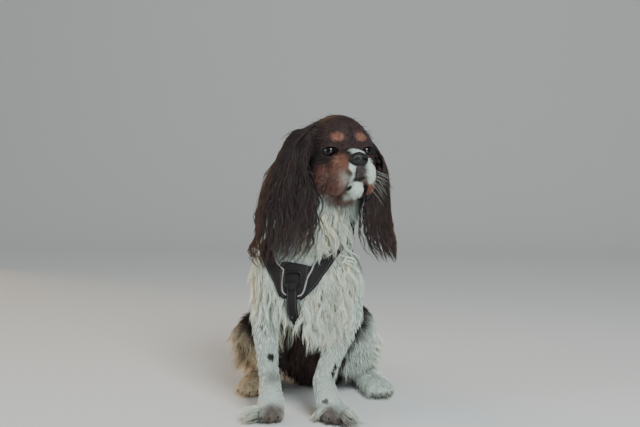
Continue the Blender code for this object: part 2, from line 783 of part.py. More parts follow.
def box_of(piece, margin=0.0):
    places = np.array([vertex.co for vertex in piece.data.vertices])
    return places.min(axis=0) - margin, places.max(axis=0) + margin


def boxes_meet(first, second):
    return bool((first[0] <= second[1]).all() and (second[0] <= first[1]).all())


def outward(piece):
    work = bmesh.new()
    work.from_mesh(piece.data)
    bmesh.ops.recalc_face_normals(work, faces=work.faces)
    work.to_mesh(piece.data)
    work.free()


def ball_piece(name, centre, radius):
    mesh = bpy.data.meshes.new(name)
    work = bmesh.new()
    bmesh.ops.create_uvsphere(work, u_segments=16, v_segments=10, radius=radius)
    bmesh.ops.rotate(work, verts=work.verts, matrix=Matrix.Rotation(math.pi / 2, 3, "X"))
    bmesh.ops.translate(work, verts=work.verts, vec=centre)
    work.to_mesh(mesh)
    work.free()
    return new_piece(name, mesh)


def strap(name, flesh, points, width, thickness, stations, base=0.0008):
    """A webbing strap along the curve through the points, laid on the flesh, with its edges thinner."""
    line = [flesh.on_skin(curve_through(points, k / stations), base) for k in range(stations + 1)]
    rings = []
    for k, place in enumerate(line):
        before, after = line[max(k - 1, 0)], line[min(k + 1, stations)]
        side = (after - before).cross(flesh.outward_at(place)).normalized()
        inner = [flesh.on_skin(place + side * (width * s), base) for s in (-0.5, 0.0, 0.5)]
        heights = (thickness * 0.7, thickness, thickness * 0.7)
        outer = [point + flesh.outward_at(point) * height for point, height in zip(inner, heights)]
        rings.append(inner + outer[::-1])
    return loft(name, rings)


def loft(name, rings):
    """A closed surface through rings of equal counts; a last ring of one point makes a tip."""
    mesh = bpy.data.meshes.new(name)
    work = bmesh.new()
    made = [[work.verts.new(point) for point in ring] for ring in rings]
    for first, second in zip(made, made[1:]):
        for k in range(len(first)):
            j = (k + 1) % len(first)
            if len(second) == 1:
                work.faces.new((first[k], first[j], second[0]))
            else:
                work.faces.new((first[k], first[j], second[j], second[k]))
    work.faces.new(made[0][::-1])
    if len(made[-1]) > 1:
        work.faces.new(made[-1])
    bmesh.ops.triangulate(work, faces=work.faces)
    bmesh.ops.recalc_face_normals(work, faces=work.faces)
    work.to_mesh(mesh)
    work.free()
    return new_piece(name, mesh)


def wire_ring(name, corners, radius):
    """A closed ring of round wire through its corners."""
    curve = bpy.data.curves.new(name, "CURVE")
    curve.dimensions = "3D"
    line = curve.splines.new("POLY")
    line.points.add(len(corners) - 1)
    for point, corner in zip(line.points, corners):
        point.co = (*corner, 1.0)
    line.use_cyclic_u = True
    curve.bevel_depth = radius
    curve.bevel_resolution = 1
    drawn = bpy.data.objects.new(name, curve)
    bpy.context.scene.collection.objects.link(drawn)
    graph = bpy.context.evaluated_depsgraph_get()
    piece = new_piece(name, bpy.data.meshes.new_from_object(drawn.evaluated_get(graph)))
    bpy.data.objects.remove(drawn)
    return piece


def ring_on(name, bar):
    """An upright rectangular ring of round wire with rounded corners, from the middle of its lower bar."""
    corners = []
    for sx, sz, first in ((1, 1, 0), (-1, 1, 90), (-1, -1, 180), (1, -1, 270)):
        for turn in (0, 45, 90):
            angle = math.radians(first + turn)
            x = sx * (RING_WIDTH / 2 - RING_CORNER) + RING_CORNER * math.cos(angle)
            z = sz * (RING_LENGTH / 2 - RING_CORNER) + RING_CORNER * math.sin(angle)
            corners.append(bar + Vector((x, 0, z + RING_LENGTH / 2)))
    return wire_ring(name, corners, RING_WIRE)


def harness(flesh):
    """A Y harness: front plate, shoulder straps, breast strap, girth, back plate, buckles and steel rings."""
    pieces = {}

    def lay(name, points, width, thickness, stations, base=STRAP_LIFT):
        pieces[name] = strap(name, flesh, points, width, thickness, stations, base)

    lay("harness_front_plate",
        [PLATE_TOP, PLATE_TOP.lerp(JUNCTION, 0.5), JUNCTION, JUNCTION - Vector((0, 0, 0.020))],
        0.044, PLATE_THICKNESS, 6)
    lay("harness_strap_left",
        [JUNCTION + Vector((0.010, 0, 0.006)), (0.020, -0.150, 0.222), (0.052, -0.130, 0.264),
         (0.076, -0.080, 0.285), (0.062, -0.025, 0.296), WITHERS + Vector((0.014, -0.004, 0.002))],
        STRAP_WIDTH, STRAP_THICKNESS, 14)
    lay("harness_strap_right",
        [JUNCTION + Vector((-0.010, 0, 0.006)), (-0.043, -0.140, 0.226), (-0.062, -0.110, 0.262),
         (-0.072, -0.065, 0.283), (-0.056, -0.020, 0.294), WITHERS + Vector((-0.014, -0.004, 0.002))],
        STRAP_WIDTH, STRAP_THICKNESS, 14)
    lay("harness_breast_strap",
        [JUNCTION - Vector((0, 0, 0.012)), (-0.013, -0.140, 0.150), (-0.006, -0.105, 0.135),
         (0, -0.060, 0.130), (0, -0.036, 0.130)], STRAP_WIDTH, STRAP_THICKNESS, 7)
    for name, side in (("left", 1), ("right", -1)):
        girth = [(side * 0.011, -0.030, 0.135), (side * 0.045, -0.026, 0.150), (side * 0.070, -0.006, 0.190),
                 (side * 0.062, 0.016, 0.235), (side * 0.012, 0.036, 0.262)]
        lay("harness_girth_" + name, girth, STRAP_WIDTH, STRAP_THICKNESS, 9)
        buckle = [curve_through(girth, share) for share in (0.40, 0.47, 0.54)]
        lay("harness_buckle_" + name, buckle, 0.026, 0.0060, 2, STRAP_LIFT + STRAP_THICKNESS + GAP)
    lay("harness_back_plate", [WITHERS + Vector((0, -0.016, 0.004)), (0, 0.030, 0.272), (0, 0.056, 0.250)],
        0.040, PLATE_THICKNESS, 6)
    for name, bar, down in (("front", RING_FRONT, Vector((0, 0, -1))), ("back", RING_BACK, Vector((0, 1, -0.5)))):
        bar = flesh.on_skin(bar, RING_LIFT)
        pieces["harness_ring_" + name] = ring_on("harness_ring_" + name, bar)
        lay("harness_ring_tab_" + name, [bar + down * reach for reach in (-0.0035, 0.0, 0.0035)],
            0.013, 0.0052, 2, STRAP_LIFT + PLATE_THICKNESS + GAP)
    return pieces


def build():
    for found in list(bpy.data.objects):
        bpy.data.objects.remove(found)

    low, high = (-0.19, -0.20, -0.02), (0.19, 0.33, 0.50)
    body = Flesh(body_forms() + head_forms(), low, high, BODY_STEP)
    whole = new_piece("whole", body.mesh("whole"))
    decimate(whole, BODY_TRIANGLES)
    floor = block((-0.5, -0.5, -0.2), (0.5, 0.5, 0.0))
    combine(whole, floor, "DIFFERENCE")
    remove(floor)
    keep_largest(whole)
    pieces = part_flesh(whole)

    remove(pieces["head"])
    reach = Vector((0.10, 0.13, 0.12))
    fine = Flesh(
        body_forms() + head_forms(), HEAD_CENTRE - reach, HEAD_CENTRE + reach * 0.8, HEAD_STEP)
    skull = new_piece("head", fine.mesh("head"))
    decimate(skull, HEAD_TRIANGLES)
    cutter = head_cutter()
    combine(skull, cutter, "INTERSECT")
    remove(cutter)
    keep_largest(skull)
    pieces["head"] = skull

    reach = Vector((0.03, 0.03, 0.03))
    seat = in_head(*NOSE_SEAT)
    nose = new_piece("nose", Flesh(nose_forms(), seat - reach, seat + reach, 0.0007).mesh("nose"))
    decimate(nose, 340)
    cut_clear(nose, skull)
    pieces["nose"] = nose
    for name, side in (("left", 1), ("right", -1)):
        eye = ball_piece("eye_" + name, eye_centre(side), EYE_RADIUS)
        cut_clear(eye, skull)
        pieces["eye_" + name] = eye

    right = Ear(
        [in_head(-0.034, -0.012, 0.040), (0.0170, -0.122, 0.4330), (0.0205, -0.128, 0.4090),
         (0.0265, -0.135, 0.3744), (0.0295, -0.140, 0.3337), (0.0293, -0.145, 0.2962),
         (0.0200, -0.150, 0.2663), (-0.0001, -0.148, 0.2385), (-0.0310, -0.138, 0.2220)],
        [in_head(-0.030, 0.026, 0.042), (-0.0236, -0.082, 0.4468), (-0.0401, -0.072, 0.4218),
         (-0.0564, -0.066, 0.3852), (-0.0726, -0.060, 0.3367), (-0.0770, -0.064, 0.2917),
         (-0.0690, -0.080, 0.2546), (-0.0540, -0.100, 0.2286), (-0.0400, -0.118, 0.2200)],
        0.012, body)
    left = Ear(
        [in_head(0.034, -0.012, 0.038), (0.0945, -0.082, 0.4230), (0.0985, -0.094, 0.3975),
         (0.0975, -0.110, 0.3617), (0.0889, -0.118, 0.3314), (0.0872, -0.126, 0.2984),
         (0.0942, -0.128, 0.2696), (0.1125, -0.115, 0.2452), (0.1240, -0.102, 0.2360)],
        [in_head(0.030, 0.026, 0.040), (0.0945, -0.045, 0.4315), (0.1078, -0.036, 0.4115),
         (0.1205, -0.032, 0.3818), (0.1240, -0.032, 0.3366), (0.1300, -0.040, 0.2917),
         (0.1370, -0.055, 0.2608), (0.1370, -0.075, 0.2410), (0.1330, -0.088, 0.2340)],
        0.010, body)
    for name, ear in (("left", left), ("right", right)):
        flap = ear_sheet(ear, "ear_" + name, EAR_CORE, EAR_THICKNESS)
        fuse(flap, ear_locks(ear, random.Random(SEED)))
        cut_clear(flap, skull)
        pieces["ear_" + name] = flap

    straps = harness(body)
    bodies = [pieces[name] for name in ("chest", "neck", "throat", "torso", "front_leg_left", "front_leg_right")]
    plates = [straps["harness_front_plate"], straps["harness_back_plate"]]
    for name, piece in straps.items():
        if "ring_tab" in name:
            cut_clear(piece, *plates, straps[name.replace("_tab", "")])
        elif "plate" in name:
            cut_clear(piece, *bodies)
        elif "ring" not in name:
            cut_clear(piece, *bodies, *plates)
    pieces.update(straps)
    dress(pieces, coat(body))
    finish(pieces)


def finish(pieces):
    """Names, finishes and groups the pieces, and stands them on the floor round the origin."""
    group = new_collection("cavalier_spaniel")
    corners = [Vector(corner) for piece in pieces.values() for corner in piece.bound_box]
    low, high = ([limit(c[k] for c in corners) for k in range(3)] for limit in (min, max))
    stand = bpy.data.objects.new("spaniel", None)
    stand.location = (-(low[0] + high[0]) / 2, -(low[1] + high[1]) / 2, -low[2])
    group.objects.link(stand)
    finishes = {key: material(key, *values) for key, values in FINISHES.items()}
    for name, piece in pieces.items():
        piece.name = name
        piece.data.name = name
        piece.parent = stand
        bpy.context.scene.collection.objects.unlink(piece)
        group.objects.link(piece)
        piece.data.materials.clear()
        piece.data.materials.append(finishes[finish_of(name)])
        piece.data.shade_smooth()
        piece.data.set_sharp_from_angle(angle=math.radians(35))


def finish_of(name):
    """The finish of a piece, from its name."""
    for start, finish in (("eye", "eye"), ("nose", "nose"), ("harness_ring", "ring"), ("harness_buckle", "buckle"),
                          ("harness", "webbing"), ("ear", "black_coat"), ("head", "black_coat"),
                          ("neck", "black_coat"), ("torso", "black_coat"), ("tail", "black_coat")):
        if name.startswith(start):
            return finish
    return "white_coat"


def material(name, colour, roughness, metallic=0.0):
    made = bpy.data.materials.new(name)
    made.use_nodes = True
    shader = made.node_tree.nodes["Principled BSDF"]
    channels = [int(colour[k:k + 2], 16) / 255 for k in (1, 3, 5)]
    linear = [c / 12.92 if c <= 0.04045 else ((c + 0.055) / 1.055) ** 2.4 for c in channels]
    shader.inputs["Base Color"].default_value = (*linear, 1.0)
    shader.inputs["Roughness"].default_value = roughness
    shader.inputs["Metallic"].default_value = metallic
    return made


build()
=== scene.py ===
"""Looks of a sitting Cavalier King Charles spaniel in a black chest harness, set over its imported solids.

Metres, +Z up. The dog faces -Y, turns its head to its left, +X, and sits on the floor at Z = 0.
"""
import math

import bmesh
import bpy
import numpy as np
import openvdb
from mathutils import Matrix, Vector
from mathutils.kdtree import KDTree


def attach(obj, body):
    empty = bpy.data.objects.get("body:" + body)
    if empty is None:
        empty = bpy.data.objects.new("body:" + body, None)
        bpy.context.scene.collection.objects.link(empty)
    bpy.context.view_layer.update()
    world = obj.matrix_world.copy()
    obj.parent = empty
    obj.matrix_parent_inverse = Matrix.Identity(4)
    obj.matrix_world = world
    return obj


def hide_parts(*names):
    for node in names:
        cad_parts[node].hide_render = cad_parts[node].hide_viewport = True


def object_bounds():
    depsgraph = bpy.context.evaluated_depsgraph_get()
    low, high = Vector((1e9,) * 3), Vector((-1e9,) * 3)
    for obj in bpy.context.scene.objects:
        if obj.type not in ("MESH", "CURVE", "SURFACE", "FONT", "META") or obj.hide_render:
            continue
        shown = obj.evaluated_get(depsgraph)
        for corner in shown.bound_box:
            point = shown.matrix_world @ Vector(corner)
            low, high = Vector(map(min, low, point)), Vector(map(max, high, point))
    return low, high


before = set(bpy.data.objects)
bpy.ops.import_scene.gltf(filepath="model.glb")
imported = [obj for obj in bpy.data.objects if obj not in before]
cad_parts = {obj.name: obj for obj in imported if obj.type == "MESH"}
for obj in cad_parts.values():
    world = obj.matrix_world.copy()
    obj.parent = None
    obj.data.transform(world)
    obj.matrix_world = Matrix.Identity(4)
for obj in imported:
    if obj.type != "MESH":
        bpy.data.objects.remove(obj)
solid_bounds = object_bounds()

# The drawn frame. Sizes below are drawn round the dog's own origin, and the solids stand centred on the floor.
# The ball of an eye, fitted to the rounded front of its node, gives the step between the two. In the head's own
# frame -Y runs out along the muzzle.
HEAD_CENTRE = Vector((0.052, -0.088, 0.412))
HEAD_TURN = Matrix.Rotation(math.radians(27.0), 3, "Z") @ Matrix.Rotation(math.radians(-6.0), 3, "X")
EYE_SEAT = Vector((0.0288, -0.0380, -0.0012))


def in_head(x, y, z):
    return HEAD_CENTRE + HEAD_TURN @ Vector((x, y, z))


def eye_centre(side):
    return in_head(side * EYE_SEAT.x, EYE_SEAT.y, EYE_SEAT.z)


def fitted_ball(node):
    """Centre of the sphere through the front of a node."""
    points = np.array([vertex.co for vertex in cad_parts[node].data.vertices])
    front = points[points[:, 1] < points[:, 1].min() + 0.003]
    rows = np.column_stack([2.0 * front, np.ones(len(front))])
    return Vector(np.linalg.lstsq(rows, (front**2).sum(axis=1), rcond=None)[0][:3])


TO_SOLIDS = fitted_ball("eye_right") - eye_centre(-1)

# The camera, at the height of the dog's head and a step to its left, looking slightly down.
camera_data = bpy.data.cameras.new("camera")
camera_data.lens = 50.0
camera_data.clip_start = 0.05
camera = bpy.data.objects.new("camera", camera_data)
camera.location = Vector((0.1698, -1.4746, 0.41)) + TO_SOLIDS
camera.rotation_euler = (math.radians(86.2), 0.0, math.radians(6.0))
bpy.context.scene.collection.objects.link(camera)
bpy.context.scene.camera = camera

# The studio: a pale sweep behind the dog, a cool softbox in front with a low one under it, a weaker one to the
# side, and a faint warm one behind the dog's right shoulder, where the sun stands in the photo.


def linear(colour):
    """Linear red, green and blue of an sRGB hex colour."""
    channels = np.array([int(colour[k:k + 2], 16) for k in (1, 3, 5)]) / 255.0
    return np.where(channels <= 0.04045, channels / 12.92, ((channels + 0.055) / 1.055) ** 2.4)


def new_node(material, kind, settings=None, inputs=None):
    """Adds a node with its settings, its values and the sockets that feed it."""
    node = material.node_tree.nodes.new(kind)
    for key, value in (settings or {}).items():
        setattr(node, key, value)
    for key, value in (inputs or {}).items():
        if isinstance(value, bpy.types.NodeSocket):
            material.node_tree.links.new(value, node.inputs[key])
        else:
            node.inputs[key].default_value = value
    return node


def new_material(name, **inputs):
    """A material and its shader, with values for the shader's own sockets."""
    material = bpy.data.materials.new(name)
    material.use_nodes = True
    shader = material.node_tree.nodes["Principled BSDF"]
    for key, value in inputs.items():
        shader.inputs[key.replace("_", " ")].default_value = value
    return material, shader


def new_object(name, mesh, material=None, smooth=True):
    made = bpy.data.objects.new(name, mesh)
    bpy.context.scene.collection.objects.link(made)
    if material:
        mesh.materials.append(material)
    if smooth:
        mesh.shade_smooth()
    return made


sweep_width, sweep_front, sweep_back, sweep_bend = 9.0, -5.0, 2.2, 1.6
profile = [(sweep_front, 0.0)]
for step in range(17):
    angle = math.pi / 2 * step / 16
    profile.append((sweep_back + sweep_bend * math.sin(angle), sweep_bend * (1 - math.cos(angle))))
profile.append((sweep_back + sweep_bend, 5.0))
sweep_mesh = bpy.data.meshes.new("sweep")
corners = [(side * sweep_width / 2, y, z) for y, z in profile for side in (-1, 1)]
sweep_mesh.from_pydata(corners, [], [(k, k + 1, k + 3, k + 2) for k in range(0, len(corners) - 2, 2)])
paper, paper_shader = new_material(
    "matt_background_paper", Base_Color=(*linear("#E4E3DF"), 1.0), Roughness=0.9, Specular_IOR_Level=0.2)
grain = new_node(paper, "ShaderNodeTexNoise", inputs={"Scale": 400.0, "Detail": 3.0})
paper_bump = new_node(paper, "ShaderNodeBump", inputs={"Strength": 0.05, "Distance": 0.0005, "Height": grain.outputs["Fac"]})
paper.node_tree.links.new(paper_bump.outputs["Normal"], paper_shader.inputs["Normal"])
new_object("sweep", sweep_mesh, paper)

world = bpy.data.worlds.new("studio")
bpy.context.scene.world = world
world.use_nodes = True
world.node_tree.nodes["Background"].inputs["Color"].default_value = (*linear("#D6DCDD"), 1.0)
world.node_tree.nodes["Background"].inputs["Strength"].default_value = 0.48
for name, place, aim, size, power, spread, colour in (
        ("key_softbox", (1.0, -1.9, 1.8), (0.0, -0.1, 0.25), 0.9, 56.0, 180.0, "#F0FAFF"),
        ("low_fill", (0.9, -1.9, 0.30), (0.03, 0.0, 0.20), 1.0, 14.0, 180.0, "#EAF6FF"),
        ("side_softbox", (-1.9, -1.0, 0.9), (0.0, 0.0, 0.2), 1.0, 12.0, 180.0, "#EAF6FF"),
        ("sun_lamp", (-1.7, 1.0, 0.55), (-0.03, 0.0, 0.20), 1.2, 4.0, 60.0, "#FFC68A")):
    lamp_data = bpy.data.lights.new(name, "AREA")
    lamp_data.size = size
    lamp_data.spread = math.radians(spread)
    lamp_data.energy = power
    lamp_data.color = linear(colour)
    lamp = bpy.data.objects.new(name, lamp_data)
    lamp.location = place
    lamp.rotation_euler = (Vector(aim) - Vector(place)).to_track_quat("-Z", "Y").to_euler()
    bpy.context.scene.collection.objects.link(lamp)

# The body's forms: rounded masses of bone and muscle, the same as the solids', held as distances to their
# surface on a grid. Skin, hair and harness are all laid from these distances.


class Ball:
    """A rounded form with three radii, turned by a rotation matrix."""

    def __init__(self, centre, radii, turn=None, blend=0.008, carve=False):
        self.centre = np.array(centre, np.float32)
        self.radii = np.array(radii, np.float32)
        self.turn = np.array(turn if turn is not None else Matrix.Identity(3), np.float32)
        self.blend = blend
        self.carve = carve
        self.low = self.centre - max(radii)
        self.high = self.centre + max(radii)

    def distance(self, points):
        local = (points - self.centre) @ self.turn / self.radii
        size = np.linalg.norm(local, axis=-1)
        slope = np.linalg.norm(local / self.radii, axis=-1)
        return size * (size - 1.0) / np.maximum(slope, 1e-6)


class Limb:
    """A chain of tapering rounds along a path, one radius at each point."""

    def __init__(self, path, radii, blend=0.008, carve=False):
        self.path = np.array(path, np.float32)
        self.radii = np.array(radii, np.float32)
        self.blend = blend
        self.carve = carve
        self.low = self.path.min(axis=0) - max(radii)
        self.high = self.path.max(axis=0) + max(radii)

    def distance(self, points):
        nearest = np.float32(1.0)
        for start, end, wide, narrow in zip(self.path, self.path[1:], self.radii, self.radii[1:]):
            along = end - start
            share = np.clip((points - start) @ along / (along @ along), 0.0, 1.0)
            offset = points - start - share[..., None] * along
            nearest = np.minimum(nearest, np.linalg.norm(offset, axis=-1) - (wide + share * (narrow - wide)))
        return nearest


class Flesh:
    """Distances to the surface of a set of forms, negative inside, on a grid of cubes."""

    FAR = 0.05
    REACH = 0.014

    def __init__(self, forms, low, high, step):
        self.low = np.array(low, np.float32)
        self.step = step
        self.shape = np.ceil((np.array(high) - self.low) / step).astype(int) + 1
        self.values = np.full(self.shape, self.FAR, np.float32)
        for form in forms:
            self.add(form)

    def add(self, form):
        margin = form.blend + self.REACH
        first = np.clip(np.floor((form.low - margin - self.low) / self.step).astype(int), 0, self.shape)
        last = np.clip(np.ceil((form.high + margin - self.low) / self.step).astype(int) + 1, 0, self.shape)
        if (last <= first).any():
            return
        block = tuple(slice(a, b) for a, b in zip(first, last))
        axes = [self.low[k] + self.step * np.arange(first[k], last[k], dtype=np.float32) for k in range(3)]
        found = form.distance(np.stack(np.meshgrid(*axes, indexing="ij"), axis=-1))
        sign = -1.0 if form.carve else 1.0
        here = sign * self.values[block]
        share = np.maximum(form.blend - np.abs(here - found), 0.0) / form.blend
        self.values[block] = sign * (np.minimum(here, found) - share * share * form.blend * 0.25)

    def surface(self):
        """Points and outward quads of the surface."""
        grid = openvdb.FloatGrid(self.FAR)
        grid.copyFromArray(self.values)
        points, quads = grid.convertToQuads(0.0)
        return points * self.step + self.low, quads[:, ::-1]

    def at(self, points):
        """Distances at points, read between the corners of their cubes."""
        place = np.clip((points - self.low) / self.step, 0.0, self.shape - 1.001)
        corner = place.astype(np.int32)
        share = place - corner
        found = 0.0
        for corner_x in (0, 1):
            for corner_y in (0, 1):
                for corner_z in (0, 1):
                    offset = np.array((corner_x, corner_y, corner_z))
                    weight = np.where(offset == 1, share, 1.0 - share).prod(axis=-1)
                    index = corner + offset
                    found = found + weight * self.values[index[..., 0], index[..., 1], index[..., 2]]
        return found


def head_ball(x, y, z, radii, blend=0.008, carve=False, turn=None):
    turned = HEAD_TURN @ turn if turn else HEAD_TURN
    return Ball(in_head(x, y, z), radii, turned, blend, carve)


def head_forms():
    """Skull, forehead, muzzle, lips and chin, then the lids, the eyes' openings and the line of the mouth."""
    forms = [
        head_ball(0, 0.008, 0.012, (0.0440, 0.055, 0.0480)),
        head_ball(0, -0.021, 0.012, (0.0380, 0.030, 0.0375), 0.014),
        head_ball(0, -0.054, -0.0120, (0.0200, 0.0290, 0.0125), 0.012),
        head_ball(0, -0.054, -0.026, (0.0275, 0.030, 0.018), 0.010),
        head_ball(0, -0.0700, -0.0285, (0.0130, 0.0160, 0.0140), 0.006),
    ]
    for side in (-1, 1):
        forms += [
            head_ball(side * 0.027, -0.014, -0.024, (0.026, 0.034, 0.034), 0.014),
            head_ball(side * 0.0220, -0.040, 0.0150, (0.0145, 0.010, 0.008), 0.012),
            head_ball(side * 0.0260, -0.044, -0.0185, (0.0120, 0.0150, 0.0080), 0.008),
            head_ball(side * 0.0150, -0.0670, -0.0345, (0.0158, 0.0185, 0.0165), 0.0035),
            head_ball(side * 0.0225, -0.0500, -0.0470, (0.0118, 0.0275, 0.0205), 0.007),
        ]
    forms.append(Limb([in_head(0, -0.004, -0.050), in_head(0, -0.0655, -0.0600)], (0.024, 0.0122), 0.0025))
    for side in (-1, 1):
        look = Matrix.Rotation(side * EYE_OUTWARD, 3, "Z")
        seat = Vector((side * EYE_SEAT.x, EYE_SEAT.y, EYE_SEAT.z))
        front = seat + look @ Vector((0, -0.0100, -0.0012))
        forms.append(head_ball(*seat, (EYE_RADIUS + 0.0028,) * 3, 0.006))
        for reach, height, drop in LID_FOLDS:
            fold = []
            for k in range(9):
                angle = math.pi * (1.0 + k / 8) if drop else math.pi * k / 8
                fold.append(in_head(*(seat + look @ Vector(
                    (reach * math.cos(angle), -0.0108 + 0.0070 * abs(math.cos(angle)), height * math.sin(angle) - drop)))))
            forms.append(Limb(fold, (0.0017,) * 9, 0.0022))
        forms.append(head_ball(*front, (0.0112, 0.0090, 0.0058), 0.0012, True, look))
        forms.append(Limb([in_head(side * x, y, z) for x, y, z in LIP_LINE], LIP_CREASE, 0.0012, True))
    return forms


LID_FOLDS = ((0.0125, 0.0088, 0.0), (0.0132, 0.0108, 0.0024))
LIP_LINE = ((0.0020, -0.0885, -0.0425), (0.0090, -0.0830, -0.0490), (0.0132, -0.0720, -0.0572),
            (0.0168, -0.0560, -0.0642), (0.0218, -0.0380, -0.0664), (0.0292, -0.0220, -0.0618))
LIP_CREASE = (0.0016, 0.0022, 0.0024, 0.0022, 0.0018, 0.0012)
EYE_RADIUS = 0.0122
EYE_OUTWARD = math.radians(16.0)


def paw_forms(centre, turn):
    """A rounded paw with four toes along its front."""
    turned = Matrix.Rotation(turn, 3, "Z")
    middle = Vector(centre)
    forms = [Ball(middle, (0.022, 0.027, 0.017), turned, 0.010)]
    for x, y in TOES:
        forms.append(Ball(middle + turned @ Vector((x, y, -0.004)), (0.0085, 0.0130, 0.0110), turned, 0.004))
    return forms


def hind_leg_forms(side, knee, hock, toes):
    hip = Vector((side * 0.052, 0.082, 0.085))
    knee, hock, toes = Vector(knee), Vector(hock), Vector(toes)
    forms = [
        Ball((hip + knee) / 2 + Vector((side * 0.004, 0, 0)), (0.040, 0.060, 0.056), blend=0.02),
        Limb([hip, knee], (0.045, 0.030), 0.014),
        Limb([knee, (knee + hock) / 2, hock], (0.030, 0.025, 0.0175), 0.012),
        Limb([hock, hock.lerp(toes, 0.55)], (0.0170, 0.0165), 0.010),
    ]
    return forms + paw_forms(hock.lerp(toes, 0.78), math.atan2(toes.x - hock.x, hock.y - toes.y))


def body_forms():
    """Trunk, neck, legs, paws and tail."""
    forms = [
        Limb(
            [(0, -0.068, 0.212), (0, 0.020, 0.160), (0, 0.070, 0.100), (0, 0.095, 0.057)],
            (0.060, 0.066, 0.068, 0.060)),
        Ball((0, -0.030, 0.245), (0.050, 0.052, 0.050), blend=0.02),
        Ball((-0.004, -0.106, 0.205), (0.044, 0.036, 0.058), blend=0.02),
        Ball((-0.052, -0.070, 0.212), (0.030, 0.045, 0.062), blend=0.02),
        Ball((0.052, -0.070, 0.212), (0.030, 0.045, 0.062), blend=0.02),
        Limb([(0.004, -0.048, 0.258), (0.020, -0.062, 0.318), (0.040, -0.070, 0.368), (0.049, -0.074, 0.398)],
             (0.062, 0.055, 0.051, 0.048), 0.02),
    ]
    for leg in FRONT_LEGS.values():
        forms.append(Limb(leg[:-1], (0.030, 0.026, 0.0185, 0.0180, 0.0205), 0.014))
    for centre, turn in FRONT_PAWS.values():
        forms += paw_forms(centre, turn)
    for side, knee, hock, toes in HIND_LEGS.values():
        forms += hind_leg_forms(side, knee, hock, toes)
    forms.append(Limb(TAIL, (0.022, 0.0155, 0.0125, 0.009), 0.014))
    return forms


TOES = ((-0.0165, -0.013), (-0.006, -0.022), (0.006, -0.022), (0.0165, -0.013))
FRONT_LEGS = {
    "right": [(-0.058, -0.070, 0.222), (-0.064, -0.080, 0.160), (-0.059, -0.104, 0.104), (-0.052, -0.117, 0.055),
              (-0.049, -0.126, 0.030), (-0.047, -0.135, 0.0165)],
    "left": [(0.058, -0.070, 0.222), (0.066, -0.078, 0.160), (0.047, -0.104, 0.103), (0.032, -0.117, 0.058),
             (0.040, -0.125, 0.032), (0.052, -0.132, 0.0165)],
}
FRONT_PAWS = {
    "right": ((-0.047, -0.135, 0.0165), math.radians(-6)),
    "left": ((0.052, -0.132, 0.0165), math.radians(22)),
}
HIND_LEGS = {
    "left": (1, (0.072, 0.000, 0.114), (0.080, 0.086, 0.026), (0.118, 0.002, 0.0135)),
    "right": (-1, (-0.094, 0.006, 0.112), (-0.092, 0.088, 0.026), (-0.106, -0.012, 0.0133)),
}
TAIL = [(0, 0.120, 0.055), (0.004, 0.160, 0.024), (0.012, 0.205, 0.0115), (0.024, 0.250, 0.0085)]

# The ears' leather: a curved sheet that hangs from each side of the skull, drawn by its front and rear edge from
# root to tip. Only its upper half is leather, and the hair goes on down the same sheet.
EAR_EDGES = {
    "right": (
        [in_head(-0.034, -0.012, 0.040), (0.0170, -0.122, 0.4330), (0.0205, -0.128, 0.4090),
         (0.0265, -0.135, 0.3744), (0.0295, -0.140, 0.3337), (0.0293, -0.145, 0.2962),
         (0.0200, -0.150, 0.2663), (-0.0001, -0.148, 0.2385), (-0.0310, -0.138, 0.2220)],
        [in_head(-0.030, 0.026, 0.040), (-0.0190, -0.080, 0.4400), (-0.0345, -0.072, 0.4140),
         (-0.0530, -0.066, 0.3800), (-0.0726, -0.060, 0.3367), (-0.0770, -0.064, 0.2917),
         (-0.0690, -0.080, 0.2546), (-0.0540, -0.100, 0.2286), (-0.0400, -0.118, 0.2200)], 0.012),
    "left": (
        [in_head(0.034, -0.012, 0.038), (0.0945, -0.082, 0.4230), (0.0985, -0.094, 0.3975),
         (0.0975, -0.110, 0.3617), (0.0889, -0.118, 0.3314), (0.0872, -0.126, 0.2984),
         (0.0942, -0.128, 0.2696), (0.1125, -0.115, 0.2452), (0.1240, -0.102, 0.2360)],
        [in_head(0.030, 0.026, 0.040), (0.0945, -0.045, 0.4315), (0.1078, -0.036, 0.4115),
         (0.1205, -0.032, 0.3818), (0.1240, -0.032, 0.3366), (0.1300, -0.040, 0.2917),
         (0.1370, -0.055, 0.2608), (0.1370, -0.075, 0.2410), (0.1330, -0.088, 0.2340)], 0.010),
}
EAR_ACROSS, EAR_DOWN = 13, 33
EAR_LEATHER = 0.46
EAR_HALF_THICKNESS = 0.0042


def curve_through(points, share):
    """A point on the smooth curve through the points, at a share of its length in steps."""
    points = [Vector(point) for point in points]
    place = min(max(share, 0.0), 1.0) * (len(points) - 1)
    k = min(int(place), len(points) - 2)
    t = place - k
    before = points[k - 1] if k else points[0] * 2 - points[1]
    after = points[k + 2] if k + 2 < len(points) else points[-1] * 2 - points[-2]
    start, end = points[k], points[k + 1]
    return 0.5 * (
        start * 2 + (end - before) * t + (before * 2 - start * 5 + end * 4 - after) * t * t
        + (start * 3 - before - end * 3 + after) * t * t * t
    )


def unit(vectors):
    return vectors / np.maximum(np.linalg.norm(vectors, axis=-1, keepdims=True), 1e-9)


def slope_of(distance, points):
    """Directions in which a distance grows fastest."""
    step = 0.0015
    return unit(np.stack(
        [distance(points + step * axis) - distance(points - step * axis) for axis in np.eye(3)], axis=-1))


body_low, body_high, BODY_STEP = np.array((-0.19, -0.20, -0.02)), np.array((0.19, 0.33, 0.50)), 0.0024
head_low, head_high, HEAD_STEP = (
    np.array(HEAD_CENTRE) - (0.085, 0.118, 0.090), np.array(HEAD_CENTRE) + (0.085, 0.085, 0.074), 0.0011)
body_field = Flesh(body_forms() + head_forms(), body_low, body_high, BODY_STEP)


